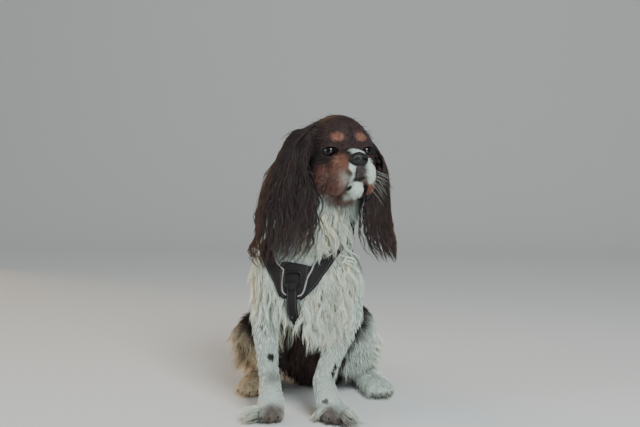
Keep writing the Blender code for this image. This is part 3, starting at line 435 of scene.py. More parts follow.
class EarSheet:
    """An ear's sheet as a grid of places and outward directions, kept clear of the flesh under it."""

    def __init__(self, front, rear, bulge):
        down = np.linspace(0.0, 1.0, EAR_DOWN)
        across = np.linspace(0.0, 1.0, EAR_ACROSS)
        front = np.array([curve_through(front, share) for share in down])[None]
        rear = np.array([curve_through(rear, share) for share in down])[None]
        u, v = across[:, None, None], down[None, :, None]
        raw = front + (rear - front) * u
        out = unit(np.cross(rear - front, np.gradient(raw, axis=1)))
        out *= np.where((out * slope_of(body_field.at, raw)).sum(axis=-1, keepdims=True) < 0, -1.0, 1.0)
        places = raw + out * (bulge * 4 * u * (1 - u) * np.clip((v - 0.12) / 0.3, 0.0, 1.0))
        height = (np.minimum(v / 0.3, 1.0) * (0.005 + 0.008 * v))[..., 0]
        for _ in range(4):
            short = np.where(v[..., 0] > 0.06, np.maximum(height - body_field.at(places), 0.0), 0.0)
            places = places + slope_of(body_field.at, places) * short[..., None]
        self.places = places
        self.outs = out

    def read(self, grid, u, v):
        """The grid's values at shares across and down the sheet; past the tip the sheet runs on straight."""
        a = np.clip(u, 0.0, 1.0) * (EAR_ACROSS - 1)
        b = np.clip(v, 0.0, None) * (EAR_DOWN - 1)
        i = np.minimum(a.astype(int), EAR_ACROSS - 2)
        j = np.minimum(b.astype(int), EAR_DOWN - 2)
        s, t = (a - i)[..., None], (b - j)[..., None]
        return ((1 - s) * ((1 - t) * grid[i, j] + t * grid[i, j + 1])
                + s * ((1 - t) * grid[i + 1, j] + t * grid[i + 1, j + 1]))

    def at(self, u, v, lift=0.0):
        return self.read(self.places, u, v) + unit(self.read(self.outs, u, v)) * np.asarray(lift)[..., None]

    def leather(self):
        """Small balls over the upper half of the sheet."""
        balls = []
        for row in range(17):
            for column in range(10):
                v = EAR_LEATHER * row / 16
                narrow = math.sqrt(max(1.0 - max(row / 16 - 0.6, 0.0) ** 2 / 0.18, 0.05))
                u = 0.5 + (column / 9 - 0.5) * 0.92 * narrow
                place = self.at(np.array([u]), np.array([v]))[0]
                balls.append(Ball(place, (EAR_HALF_THICKNESS,) * 3, blend=0.004))
        return balls


ears = {name: EarSheet(*edges) for name, edges in EAR_EDGES.items()}
head_field = Flesh(body_forms() + head_forms(), head_low, head_high, HEAD_STEP)


def hair_field_at(points):
    """Distance to the flesh without the ears, from the finer grid where it reaches."""
    found = body_field.at(points)
    inside = ((points > head_low + 0.004) & (points < head_high - 0.004)).all(axis=-1)
    found[inside] = head_field.at(points[inside])
    return found


# Markings. The coat is black with white and tan: a white muzzle, throat, chest and legs, tan over the eyes and on
# the cheeks, and black specks down the forelegs. Brown under the belly and grey-brown on the paws are painted shade,
# and a few rows on the face and the right hind leg hold painted shade and painted warm light. Skin and hair read
# their colour from the same rows, each an ellipsoid with a ragged, soft edge.
BLACK, WHITE, CREAM, TAN, RUST, BROWN, SHADE_AND_SPECK, LIP, MOUTH = (
    linear(colour) for colour in ("#251A18", "#E3EEE1", "#F2DFBC", "#976653", "#70463C", "#4A332F", "#6E5E56", "#191112", "#3A2424"))
# Colour, frame, centre, radii, softness of the edge as a share of the radius, strength
MARKINGS = (
    (WHITE, "body", (0.000, -0.125, 0.150), (0.140, 0.078, 0.190), 0.10, 1.0),
    (BLACK, "body", (0.000, -0.010, 0.290), (0.130, 0.075, 0.100), 0.15, 1.0),
    # Brown under the belly between the legs: painted shade
    (BROWN, "body", (0.000, 0.010, 0.080), (0.055, 0.090, 0.080), 0.20, 0.9),
    (WHITE, "body", (0.104, 0.020, 0.050), (0.054, 0.075, 0.086), 0.15, 1.0),
    # Cream on the right hind leg: partly cream hair, partly painted warm light from the lamp behind that side
    (CREAM, "body", (-0.128, 0.030, 0.055), (0.050, 0.080, 0.075), 0.20, 1.0),
    (BROWN, "body", (-0.112, 0.020, 0.090), (0.014, 0.040, 0.020), 0.60, 0.5),
    (WHITE, "body", (0.110, -0.005, 0.020), (0.040, 0.045, 0.025), 0.20, 1.0),
    # Cream on the right hind foot: partly cream hair, partly painted warm light
    (CREAM, "body", (-0.110, -0.015, 0.020), (0.040, 0.045, 0.025), 0.20, 1.0),
    (CREAM, "body", (0.026, 0.262, 0.010), (0.040, 0.030, 0.040), 0.30, 1.0),
    (BLACK, "body", (0.050, -0.075, 0.395), (0.100, 0.090, 0.085), 0.10, 1.0),
    (BROWN, "head", (0.000, -0.035, 0.0350), (0.0500, 0.050, 0.0500), 0.40, 0.75),
    (WHITE, "body", (0.054, -0.150, 0.314), (0.046, 0.098, 0.072), 0.15, 1.0),
    (RUST, "head", (0.000, -0.036, -0.074), (0.040, 0.034, 0.011), 0.30, 0.9),
    (WHITE, "head", (0.000, -0.025, -0.098), (0.016, 0.026, 0.016), 0.50, 0.9),
    (RUST, "right", (-0.0300, -0.038, -0.0480), (0.0300, 0.040, 0.0290), 0.25, 0.95),
    (RUST, "left", (0.0300, -0.038, -0.0480), (0.0300, 0.040, 0.0290), 0.25, 0.95),
    (TAN, "right", (-0.0200, -0.062, -0.0280), (0.0120, 0.022, 0.0200), 0.45, 1.0),
    (TAN, "left", (0.0200, -0.062, -0.0280), (0.0120, 0.022, 0.0200), 0.45, 1.0),
    (TAN, "right", (-0.0215, -0.058, -0.0520), (0.0100, 0.022, 0.0120), 0.60, 0.6),
    (TAN, "left", (0.0215, -0.058, -0.0520), (0.0100, 0.022, 0.0120), 0.60, 0.6),
    # Rust over the bulge of the right flew, darkened as painted shade where the side light falls on it
    (RUST, "right", (-0.0240, -0.052, -0.0560), (0.0120, 0.026, 0.0120), 0.50, 0.7),
    # A darker line down the furrow between the brows: painted shade of the furrow
    (BLACK, "head", (0.0020, -0.050, 0.0190), (0.0036, 0.030, 0.0200), 0.70, 0.7),
    (TAN, "right", (-0.0192, -0.048, 0.0195), (0.0098, 0.030, 0.0066), 0.35, 1.0),
    (TAN, "left", (0.0185, -0.048, 0.0195), (0.0090, 0.030, 0.0066), 0.35, 1.0),
    (WHITE, "head", (0.000, -0.066, -0.0080), (0.0105, 0.028, 0.0090), 0.20, 1.0),
    (WHITE, "left", (0.0160, -0.074, -0.0280), (0.0200, 0.024, 0.0260), 0.15, 1.0),
    (WHITE, "right", (-0.0110, -0.084, -0.0290), (0.0055, 0.016, 0.0085), 0.25, 1.0),
    (WHITE, "right", (-0.0100, -0.078, -0.0470), (0.0036, 0.016, 0.0130), 0.40, 0.7),
    (MOUTH, "head", (0.0040, -0.082, -0.0340), (0.0088, 0.022, 0.0120), 0.50, 0.95),
    # A dark red band along the mouth's gap, on the closed muzzle: partly the mouth's colour, partly painted shade of
    # the gap
    (MOUTH, "head", (0.0045, -0.078, -0.0465), (0.0090, 0.022, 0.0042), 0.50, 1.0),
    (LIP, "head", (0.0, -0.0830, -0.0175), (0.0140, 0.012, 0.0110), 0.10, 1.0),
    (RUST, "left", (0.0135, -0.076, -0.0560), (0.0040, 0.014, 0.0090), 0.40, 0.9),
    (TAN, "left", (0.0240, -0.060, -0.0600), (0.0100, 0.025, 0.0060), 0.35, 0.9),
    (WHITE, "head", (0.000, -0.068, -0.0620), (0.0125, 0.018, 0.0120), 0.15, 1.0),
    (WHITE, "right", (-0.0120, -0.050, -0.0750), (0.0080, 0.015, 0.0075), 0.35, 0.95),
    # Grey-brown on the paws near the floor: painted shade
    (SHADE_AND_SPECK, "body", (-0.042, -0.158, 0.012), (0.020, 0.026, 0.018), 0.45, 0.95),
    (SHADE_AND_SPECK, "body", (0.050, -0.155, 0.010), (0.022, 0.028, 0.018), 0.45, 0.95),
    (SHADE_AND_SPECK, "body", (0.122, -0.012, 0.004), (0.026, 0.026, 0.010), 0.40, 0.6),
    (CREAM, "body", (-0.086, -0.100, 0.225), (0.022, 0.050, 0.045), 0.50, 0.7),
    (BLACK, "body", (-0.065, -0.140, 0.1415), (0.0034, 0.050, 0.0038), 0.30, 1.0),
    (BLACK, "body", (-0.061, -0.140, 0.1320), (0.0036, 0.050, 0.0034), 0.30, 1.0),
    (BLACK, "body", (-0.050, -0.140, 0.0950), (0.0056, 0.050, 0.0070), 0.25, 1.0),
    (SHADE_AND_SPECK, "body", (-0.047, -0.140, 0.0640), (0.0110, 0.050, 0.0090), 0.60, 0.6),
    (BLACK, "body", (0.055, -0.135, 0.1220), (0.0032, 0.050, 0.0036), 0.30, 1.0),
    (BLACK, "body", (0.052, -0.135, 0.0828), (0.0026, 0.050, 0.0050), 0.30, 1.0),
    (BLACK, "body", (0.048, -0.135, 0.0701), (0.0030, 0.050, 0.0066), 0.30, 1.0),
    (BLACK, "body", (0.038, -0.140, 0.0320), (0.0040, 0.050, 0.0032), 0.30, 0.8),
)


def ripple(points, size, phase):
    """A smooth wandering value between about -1 and 1, for each point."""
    found = 0.0
    for k, (a, b, c) in enumerate(((1.0, 0.7, -0.4), (-0.5, 1.0, 0.8), (0.6, -0.8, 1.0), (1.7, 1.3, 1.9))):
        found = found + np.sin((points @ np.array((a, b, c))) * math.tau / size + phase * (k + 1.3))
    return found / 3.0


def coat_colours(points):
    """Linear colours of the coat at points of the drawn frame."""
    wander = np.stack([ripple(points, 0.023, phase) for phase in (0.0, 2.1, 4.2)], axis=-1) * 0.0022
    wander += np.stack([ripple(points, 0.006, phase) for phase in (1.0, 3.1, 5.2)], axis=-1) * 0.0008
    placed = {"body": points + wander}
    local = (points + wander * 0.6 - np.array(HEAD_CENTRE)) @ np.array(HEAD_TURN)
    placed.update(head=local, left=local, right=local)
    colours = np.tile(BLACK, (len(points), 1))
    for colour, where, centre, radii, softness, strength in MARKINGS:
        size = np.linalg.norm((placed[where] - centre) / np.array(radii), axis=-1)
        share = np.clip((1.0 + softness - size) / (2.0 * softness), 0.0, 1.0)
        share = (share * share * (3.0 - 2.0 * share) * strength)[:, None]
        colours = colours * (1.0 - share) + colour * share
    return colours


# Skin: one closed surface over head, ears, trunk, legs and tail. It lies inside the solids by the depth of the
# short coat, and its fine streaks stand for the flat hair between the tufts. Dark lips and lid rims are bare.
SKIN_DEPTH, FACE_DEPTH = 0.0030, 0.0010
SKIN_TRIANGLES = 190000


def coat_depth(points):
    """How far the skin lies under the drawn surface: little on the face and paws, more on the trunk."""
    local = (points - np.array(HEAD_CENTRE)) @ np.array(HEAD_TURN)
    face = np.clip((0.030 - local[:, 1]) / 0.05, 0.0, 1.0) * (np.linalg.norm(local, axis=-1) < 0.11)
    low = np.clip((0.060 - points[:, 2]) / 0.05, 0.0, 1.0)
    return SKIN_DEPTH + (FACE_DEPTH - SKIN_DEPTH) * np.maximum(face, low)


skin_field = Flesh(body_forms() + head_forms() + ears["left"].leather() + ears["right"].leather(),
                   body_low, body_high, BODY_STEP)
fine_skin_field = Flesh(body_forms() + head_forms() + ears["left"].leather() + ears["right"].leather(),
                        head_low, head_high, HEAD_STEP)


def skin_field_at(points):
    found = skin_field.at(points)
    inside = ((points > head_low + 0.003) & (points < head_high - 0.003)).all(axis=-1)
    found[inside] = fine_skin_field.at(points[inside])
    return found


skin_points, skin_quads = skin_field.surface()
skin_mesh = bpy.data.meshes.new("skin")
skin_mesh.from_pydata(skin_points, [], skin_quads)
work = bmesh.new()
work.from_mesh(skin_mesh)
for front_only in (False, True):
    chosen = set()
    for vertex in work.verts:
        local = HEAD_TURN.transposed() @ (vertex.co - HEAD_CENTRE)
        reach = (abs(local.x) < 0.045 and local.y < -0.024 and -0.075 < local.z < 0.03) if front_only else (
            local.y < 0.05 and local.length < 0.108)
        if reach:
            chosen.add(vertex)
    edges = [edge for edge in work.edges if edge.verts[0] in chosen and edge.verts[1] in chosen]
    bmesh.ops.subdivide_edges(work, edges=edges, cuts=1, use_grid_fill=True)
bmesh.ops.triangulate(work, faces=work.faces)
work.to_mesh(skin_mesh)
work.free()


def vertex_places(mesh):
    places = np.empty(len(mesh.vertices) * 3)
    mesh.vertices.foreach_get("co", places)
    return places.reshape(-1, 3)


skin_places = vertex_places(skin_mesh)
depth = coat_depth(skin_places)
for _ in range(5):
    skin_places -= slope_of(skin_field_at, skin_places) * (skin_field_at(skin_places) + depth)[:, None] * 0.8
skin_places[:, 2] = np.maximum(skin_places[:, 2], 0.0)
skin_mesh.vertices.foreach_set("co", skin_places.ravel())
skin = new_object("skin", skin_mesh)
fewer = skin.modifiers.new("fewer", "DECIMATE")
fewer.ratio = SKIN_TRIANGLES / len(skin_mesh.polygons)
skin_mesh = bpy.data.meshes.new_from_object(skin.evaluated_get(bpy.context.evaluated_depsgraph_get()))
skin.modifiers.remove(fewer)
skin.data = skin_mesh
skin_places = vertex_places(skin_mesh)
depth = coat_depth(skin_places)


def paint(mesh, colours):
    """Stores linear colours, one for each vertex, for a material to read."""
    layer = mesh.color_attributes.new("Coat", "FLOAT_COLOR", "POINT")
    layer.data.foreach_set("color", np.column_stack([colours, np.ones(len(colours))]).astype(np.float32).ravel())


def lip_distance(local):
    """Distance to the line of the mouth on either side, in the head's frame."""
    mirrored = np.column_stack([np.abs(local[:, 0]), local[:, 1:]])
    return Limb(LIP_LINE, LIP_CREASE).distance(mirrored.astype(np.float32))


def bare_share(points):
    """How bare and dark the skin is: the rims of the lids and the lips."""
    local = (points - np.array(HEAD_CENTRE)) @ np.array(HEAD_TURN)
    found = np.zeros(len(points))
    for side in (-1, 1):
        look = np.array(Matrix.Rotation(side * EYE_OUTWARD, 3, "Z"))
        about = (local - (side * EYE_SEAT.x, EYE_SEAT.y, EYE_SEAT.z)) @ look
        ring = np.hypot(about[:, 0] / 0.0112, (about[:, 2] + 0.0012) / 0.0063)
        found = np.maximum(found, np.clip((1.26 - ring) / 0.12, 0.0, 1.0) * (about[:, 1] < 0.0))
    return np.maximum(found, np.clip((0.0026 - lip_distance(local)) / 0.0010, 0.0, 1.0))


skin_colours = coat_colours(skin_places)
bare = bare_share(skin_places)[:, None]
skin_colours = skin_colours * (1.0 - bare) + LIP * bare
# Between the tufts the coat lies in its own shade, most where it is deep
paint(skin_mesh, skin_colours * (0.9 - 0.4 * np.clip(depth / SKIN_DEPTH, 0.0, 1.0))[:, None])
skin_mesh.vertices.foreach_set("co", (skin_places + np.array(TO_SOLIDS)).ravel())
skin_mesh.update()

coat_skin, coat_skin_shader = new_material(
    "short_flat_hair_on_skin", Roughness=0.65, Specular_IOR_Level=0.25, Sheen_Weight=0.06, Sheen_Roughness=0.4)
marking = new_node(coat_skin, "ShaderNodeVertexColor", {"layer_name": "Coat"})
place = new_node(coat_skin, "ShaderNodeTexCoord")
# Hairs 0.1 mm wide would not show, so the streaks are 0.8 mm wide and 7 mm long
stretched = new_node(coat_skin, "ShaderNodeMapping", inputs={"Vector": place.outputs["Object"], "Scale": (1250.0, 1250.0, 150.0)})
streaks = new_node(coat_skin, "ShaderNodeTexNoise", inputs={"Vector": stretched.outputs["Vector"], "Scale": 1.0, "Detail": 3.0})
shade = new_node(coat_skin, "ShaderNodeMapRange", inputs={
    "Value": streaks.outputs["Fac"], "From Min": 0.3, "From Max": 0.7, "To Min": 0.62, "To Max": 1.1})
tinted = new_node(coat_skin, "ShaderNodeVectorMath", {"operation": "MULTIPLY"}, {0: marking.outputs["Color"], 1: shade.outputs["Result"]})
skin_bump = new_node(coat_skin, "ShaderNodeBump", inputs={"Strength": 0.6, "Distance": 0.0006, "Height": streaks.outputs["Fac"]})
coat_skin.node_tree.links.new(tinted.outputs["Vector"], coat_skin_shader.inputs["Base Color"])
coat_skin.node_tree.links.new(skin_bump.outputs["Normal"], coat_skin_shader.inputs["Normal"])
skin_mesh.materials.append(coat_skin)
skin_mesh.shade_smooth()

# The skin's unwrap places each tuft of hair on the maps that the finished model is baked to.
bpy.context.view_layer.objects.active = skin
skin.select_set(True)
bpy.ops.object.mode_set(mode="EDIT")
bpy.ops.mesh.select_all(action="SELECT")
bpy.ops.uv.smart_project(angle_limit=math.radians(66), island_margin=0.003)
bpy.ops.object.mode_set(mode="OBJECT")
skin.select_set(False)
skin_mesh.uv_layers.active.name = "OFBake"
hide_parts("head", "neck", "throat", "chest", "torso", "tail", "ear_left", "ear_right",
            "front_leg_left", "front_leg_right", "front_paw_left", "front_paw_right",
            "hind_leg_left", "hind_leg_right", "hind_paw_left", "hind_paw_right")
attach(skin, "root")

# Harness: black polyester webbing over a padded plate on the breast and another over the withers, joined over the
# shoulders and under the chest, with a girth round the ribs. It is laid on the coat, and grey piping edges it.
STRAP_WIDTH, STRAP_THICKNESS, STRAP_LIFT = 0.020, 0.0032, 0.0014
PLATE_WIDTH, PLATE_THICKNESS = 0.044, 0.0046
JUNCTION = Vector((-0.018, -0.150, 0.190))
PLATE_TOP = Vector((-0.010, -0.150, 0.236))
WITHERS = Vector((0.0, 0.012, 0.285))
BAND_STEP = 0.0028


def on_coat(points, height):
    """The nearest points at a height over the flesh."""
    points = np.array(points, float)
    for _ in range(8):
        points = points + slope_of(body_field.at, points) * (height - body_field.at(points))[:, None]
    return points


def band(name, points, widths, thickness, lifts=(STRAP_LIFT,) * 2, crown=0.0):
    """A band of webbing along a curve on the coat, with rounded edges; its map holds metres across and along."""
    rough = [curve_through(points, k / 60) for k in range(61)]
    length = sum((after - before).length for before, after in zip(rough, rough[1:]))
    stations = max(int(length / BAND_STEP), 6)
    lift = np.interp(np.linspace(0, len(lifts) - 1, stations + 1), range(len(lifts)), lifts)
    line = on_coat([curve_through(points, k / stations) for k in range(stations + 1)], lift)
    wide = np.interp(np.linspace(0, len(widths) - 1, stations + 1), range(len(widths)), widths)
    side = unit(np.cross(np.gradient(line, axis=0), slope_of(body_field.at, line)))
    outline = [(-0.46, 0.0), (-0.23, 0.0), (0.0, 0.0), (0.23, 0.0), (0.46, 0.0), (0.5, 0.3), (0.5, 0.7), (0.46, 1.0),
               (0.23, 1.0), (0.0, 1.0), (-0.23, 1.0), (-0.46, 1.0), (-0.5, 0.7), (-0.5, 0.3)]
    rings = []
    for across, up in outline:
        foot = on_coat(line + side * (wide * across)[:, None], lift)
        rise = thickness * up * (1.0 + crown * (1.0 - (2 * across) ** 2) * (up == 1.0))
        rings.append(foot + slope_of(body_field.at, foot) * rise)
    rings = np.stack(rings, axis=1)
    count = len(outline)
    faces = []
    for k in range(stations):
        for j in range(count):
            i = (j + 1) % count
            faces.append((k * count + j, k * count + i, (k + 1) * count + i, (k + 1) * count + j))
    faces += [tuple(range(count))[::-1], tuple(stations * count + j for j in range(count))]
    mesh = bpy.data.meshes.new(name)
    mesh.from_pydata((rings.reshape(-1, 3) + np.array(TO_SOLIDS)), [], faces)
    work = bmesh.new()
    work.from_mesh(mesh)
    bmesh.ops.recalc_face_normals(work, faces=work.faces)
    work.to_mesh(mesh)
    work.free()
    run = np.concatenate([[0.0], np.cumsum(np.linalg.norm(np.diff(line, axis=0), axis=1))])
    layer = mesh.uv_layers.new(name="Weave")
    corners = np.empty(len(mesh.loops), int)
    mesh.loops.foreach_get("vertex_index", corners)
    station, place = corners // count, corners % count
    layer.data.foreach_set("uv", np.column_stack(
        [np.array([across for across, _ in outline])[place] * wide[station], run[station]]).astype(np.float32).ravel())
    BANDS.append(rings[:, 5:].reshape(-1, 3))
    return mesh, rings


BANDS = []
webbing, webbing_shader = new_material(
    "woven_polyester_webbing", Base_Color=(*linear("#1B1B20"), 1.0), Roughness=0.75, Specular_IOR_Level=0.25)
thread_map = new_node(webbing, "ShaderNodeUVMap", {"uv_map": "Weave"})
# The ribs of the weave are 1.4 mm apart along the strap, crossed by warp threads 1 mm wide
rib_map = new_node(webbing, "ShaderNodeMapping", inputs={"Vector": thread_map.outputs["UV"], "Scale": (1000.0, 714.0, 1.0)})
ribs = new_node(webbing, "ShaderNodeTexChecker", inputs={
    "Vector": rib_map.outputs["Vector"], "Scale": 1.0, "Color1": (1, 1, 1, 1), "Color2": (0, 0, 0, 1)})
fuzz = new_node(webbing, "ShaderNodeTexNoise", inputs={"Vector": rib_map.outputs["Vector"], "Scale": 0.8, "Detail": 3.0})
thread_height = new_node(webbing, "ShaderNodeMath", {"operation": "ADD"}, {0: ribs.outputs["Fac"], 1: fuzz.outputs["Fac"]})
thread_shade = new_node(webbing, "ShaderNodeMapRange", inputs={
    "Value": thread_height.outputs["Value"], "From Min": 0.3, "From Max": 1.7, "To Min": 0.0, "To Max": 1.0})
thread_colour = new_node(webbing, "ShaderNodeValToRGB", inputs={"Fac": thread_shade.outputs["Result"]})
thread_colour.color_ramp.elements[0].color = (*linear("#131011"), 1.0)
thread_colour.color_ramp.elements[1].color = (*linear("#2C2726"), 1.0)
webbing_bump = new_node(webbing, "ShaderNodeBump", inputs={
    "Strength": 0.6, "Distance": 0.0004, "Height": thread_height.outputs["Value"]})
webbing.node_tree.links.new(thread_colour.outputs["Color"], webbing_shader.inputs["Base Color"])
webbing.node_tree.links.new(webbing_bump.outputs["Normal"], webbing_shader.inputs["Normal"])

ON_PLATE = STRAP_LIFT + 1.3 * PLATE_THICKNESS
WEBS = {
    "front_plate": ([(-0.009, -0.150, 0.250), (-0.012, -0.150, 0.226), (-0.013, -0.150, 0.206), (-0.013, -0.150, 0.190)],
                    (0.050, 0.056, 0.053, 0.049, 0.034), PLATE_THICKNESS, (STRAP_LIFT,) * 2, 0.3),
    "back_plate": ([WITHERS + Vector((0, -0.016, 0.004)), (0, 0.030, 0.272), (0, 0.056, 0.250)],
                   (0.034, 0.042, 0.042, 0.034), PLATE_THICKNESS, (STRAP_LIFT,) * 2, 0.3),
    "strap_left": ([JUNCTION + Vector((0.010, 0, 0.006)), (0.020, -0.150, 0.222), (0.052, -0.130, 0.264),
                    (0.076, -0.080, 0.285), (0.062, -0.025, 0.296), WITHERS + Vector((0.014, -0.004, 0.002))],
                   (0.024, 0.025, 0.023, 0.020, 0.020, 0.020), STRAP_THICKNESS, (STRAP_LIFT,) * 2, 0.1),
    "strap_right": ([JUNCTION + Vector((-0.010, 0, 0.006)), (-0.043, -0.140, 0.226), (-0.062, -0.110, 0.262),
                     (-0.072, -0.065, 0.283), (-0.056, -0.020, 0.294), WITHERS + Vector((-0.014, -0.004, 0.002))],
                    (0.022, 0.022, 0.020, 0.020), STRAP_THICKNESS, (STRAP_LIFT,) * 2, 0.1),
    "breast_strap": ([(-0.0125, -0.150, 0.214), (-0.0125, -0.150, 0.196), (-0.013, -0.147, 0.176), (-0.013, -0.140, 0.152),
                      (-0.006, -0.105, 0.135), (0, -0.060, 0.130), (0, -0.036, 0.130)], (0.016,) * 2, STRAP_THICKNESS,
                     (ON_PLATE, ON_PLATE, ON_PLATE, 0.0035, STRAP_LIFT, STRAP_LIFT, STRAP_LIFT, STRAP_LIFT), 0.1),
}
GIRTH = [(0.011, -0.030, 0.135), (0.045, -0.026, 0.150), (0.070, -0.006, 0.190), (0.062, 0.016, 0.235),
         (0.012, 0.036, 0.262)]
for name, side in (("left", 1), ("right", -1)):
    WEBS["girth_" + name] = (
        [(side * x, y, z) for x, y, z in GIRTH], (STRAP_WIDTH,) * 2, STRAP_THICKNESS, (STRAP_LIFT,) * 2, 0.1)
web_rings = {}
for name, (points, widths, thickness, lifts, crown) in WEBS.items():
    mesh, web_rings[name] = band("web_" + name, points, widths, thickness, lifts, crown)
    piece = new_object("web_" + name, mesh, webbing)
    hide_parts("harness_" + name)
    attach(piece, "root")


def tube(name, lines, radius, sides=8, closed=False):
    """One mesh of round tubes along lines of points."""
    points, faces = [], []
    for line in lines:
        line = np.array(line, float)
        along = unit(np.roll(line, -1, axis=0) - np.roll(line, 1, axis=0)) if closed else unit(np.gradient(line, axis=0))
        first = unit(np.cross(along, unit(np.array((0.31, 0.17, 0.93)))))
        second = np.cross(along, first)
        start, count = len(points), len(line)
        for k in range(count):
            for j in range(sides):
                angle = math.tau * j / sides
                points.append(line[k] + radius * (first[k] * math.cos(angle) + second[k] * math.sin(angle)))
        for k in range(count if closed else count - 1):
            for j in range(sides):
                i, after = (j + 1) % sides, (k + 1) % count
                faces.append((start + k * sides + j, start + after * sides + j, start + after * sides + i,
                              start + k * sides + i))
        if not closed:
            faces.append(tuple(start + j for j in range(sides)))
            faces.append(tuple(start + (count - 1) * sides + j for j in range(sides))[::-1])
    mesh = bpy.data.meshes.new(name)
    mesh.from_pydata([tuple(point + np.array(TO_SOLIDS)) for point in points], [], faces)
    work = bmesh.new()
    work.from_mesh(mesh)
    bmesh.ops.recalc_face_normals(work, faces=work.faces)
    work.to_mesh(mesh)
    work.free()
    return mesh


# Piping: a cord of pale grey polyester bound into the edges of the plates and shoulder straps, 2.6 mm thick.
piping, piping_shader = new_material(
    "grey_polyester_piping", Base_Color=(*linear("#8F8D8C"), 1.0), Roughness=0.5, Sheen_Weight=0.3, Sheen_Roughness=0.5)
cord_place = new_node(piping, "ShaderNodeTexCoord")
# Its twist repeats every 2 mm
twist = new_node(piping, "ShaderNodeTexNoise", inputs={"Vector": cord_place.outputs["Object"], "Scale": 500.0, "Detail": 2.0})
piping_bump = new_node(piping, "ShaderNodeBump", inputs={"Strength": 0.4, "Distance": 0.0003, "Height": twist.outputs["Fac"]})
piping.node_tree.links.new(piping_bump.outputs["Normal"], piping_shader.inputs["Normal"])
PIPING_FRONT = {
    "left": [(-0.0040, -0.150, 0.1950), (0.0030, -0.150, 0.1985), (0.0070, -0.150, 0.2070), (0.0120, -0.150, 0.2240),
             (0.0200, -0.150, 0.2370)],
    "right": [(-0.0190, -0.150, 0.1960), (-0.0270, -0.150, 0.1985), (-0.0305, -0.150, 0.2070), (-0.0305, -0.150, 0.2380)],
}
edges = []
for name in ("left", "right"):
    front = on_coat([curve_through(PIPING_FRONT[name], k / 16) for k in range(17)], STRAP_LIFT + 1.15 * PLATE_THICKNESS)
    edge_rows = min((web_rings["strap_" + name][:, corner] for corner in (7, 11)), key=lambda row: abs(row[:, 0]).mean())
    edges.append(np.concatenate([front, edge_rows[edge_rows[:, 2] > front[-1, 2] + 0.008]]))
edges += [web_rings["back_plate"][:, corner] for corner in (6, 12)]
piece = new_object("piping", tube("piping", edges, 0.0013), piping)
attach(piece, "root")

# Stitches: two rows of grey thread hold every strap to its backing, each stitch 3 mm long and laid every 4 mm.
thread, thread_shader = new_material(
    "bonded_nylon_thread", Base_Color=(*linear("#55555B"), 1.0), Roughness=0.4)
thread_place = new_node(thread, "ShaderNodeTexCoord")
plies = new_node(thread, "ShaderNodeTexNoise", inputs={"Vector": thread_place.outputs["Object"], "Scale": 1500.0})
thread_bump = new_node(thread, "ShaderNodeBump", inputs={"Strength": 0.5, "Distance": 0.0002, "Height": plies.outputs["Fac"]})
thread.node_tree.links.new(thread_bump.outputs["Normal"], thread_shader.inputs["Normal"])
rows = []
for name, rings in web_rings.items():
    for corner in (8, 10):
        row = rings[:, corner] + (rings[:, 7 if corner == 8 else 11] - rings[:, corner]) * 0.55
        rows.append(row + slope_of(body_field.at, row) * 0.0002)
row_mesh = bpy.data.meshes.new("stitch_rows")
row_points = np.concatenate(rows) + np.array(TO_SOLIDS)
row_edges, start = [], 0
for row in rows:
    row_edges += [(start + k, start + k + 1) for k in range(len(row) - 1)]
    start += len(row)
row_mesh.from_pydata(row_points, row_edges, [])
stitches = new_object("stitches", row_mesh, smooth=False)
tree = bpy.data.node_groups.new("row_of_stitches", "GeometryNodeTree")
tree.interface.new_socket("Rows", in_out="INPUT", socket_type="NodeSocketGeometry")
for label, value in (("Pitch", 0.0040), ("Stitch length", 0.0030), ("Thread radius", 0.00035)):
    tree.interface.new_socket(label, in_out="INPUT", socket_type="NodeSocketFloat").default_value = value
tree.interface.new_socket("Stitches", in_out="OUTPUT", socket_type="NodeSocketGeometry")


def tree_node(kind, settings=None, inputs=None):
    node = tree.nodes.new(kind)
    for key, value in (settings or {}).items():
        setattr(node, key, value)
    for key, value in (inputs or {}).items():
        if isinstance(value, bpy.types.NodeSocket):
            tree.links.new(value, node.inputs[key])
        else:
            node.inputs[key].default_value = value
    return node


given = tree_node("NodeGroupInput")
curves = tree_node("GeometryNodeMeshToCurve", inputs={"Mesh": given.outputs["Rows"]})
spaced = tree_node("GeometryNodeResampleCurve", {"mode": "LENGTH"}, {"Curve": curves.outputs["Curve"], "Length": given.outputs["Pitch"]})
tangent = tree_node("GeometryNodeInputTangent")
half_stitch = tree_node("ShaderNodeMath", {"operation": "MULTIPLY"}, {0: given.outputs["Stitch length"], 1: 0.5})
start_place = tree_node("ShaderNodeCombineXYZ", inputs={"Z": half_stitch.outputs["Value"]})
end_place = tree_node("ShaderNodeVectorMath", {"operation": "SCALE"}, {0: start_place.outputs["Vector"], "Scale": -1.0})
stitch_line = tree_node("GeometryNodeCurvePrimitiveLine", inputs={"Start": start_place.outputs["Vector"], "End": end_place.outputs["Vector"]})
thread_round = tree_node("GeometryNodeCurvePrimitiveCircle", inputs={"Resolution": 5, "Radius": given.outputs["Thread radius"]})
stitch = tree_node("GeometryNodeCurveToMesh", inputs={
    "Curve": stitch_line.outputs["Curve"], "Profile Curve": thread_round.outputs["Curve"], "Fill Caps": True})
turn = tree_node("FunctionNodeAlignRotationToVector", {"axis": "Z"}, {"Vector": tangent.outputs["Tangent"]})
placed = tree_node("GeometryNodeInstanceOnPoints", inputs={
    "Points": spaced.outputs["Curve"], "Instance": stitch.outputs["Mesh"], "Rotation": turn.outputs["Rotation"]})
real = tree_node("GeometryNodeRealizeInstances", inputs={"Geometry": placed.outputs["Instances"]})
threaded = tree_node("GeometryNodeSetMaterial", inputs={"Geometry": real.outputs["Geometry"], "Material": thread})
result = tree_node("NodeGroupOutput", inputs={"Stitches": threaded.outputs["Geometry"]})
sewn = stitches.modifiers.new("sewn", "NODES")
sewn.node_group = tree
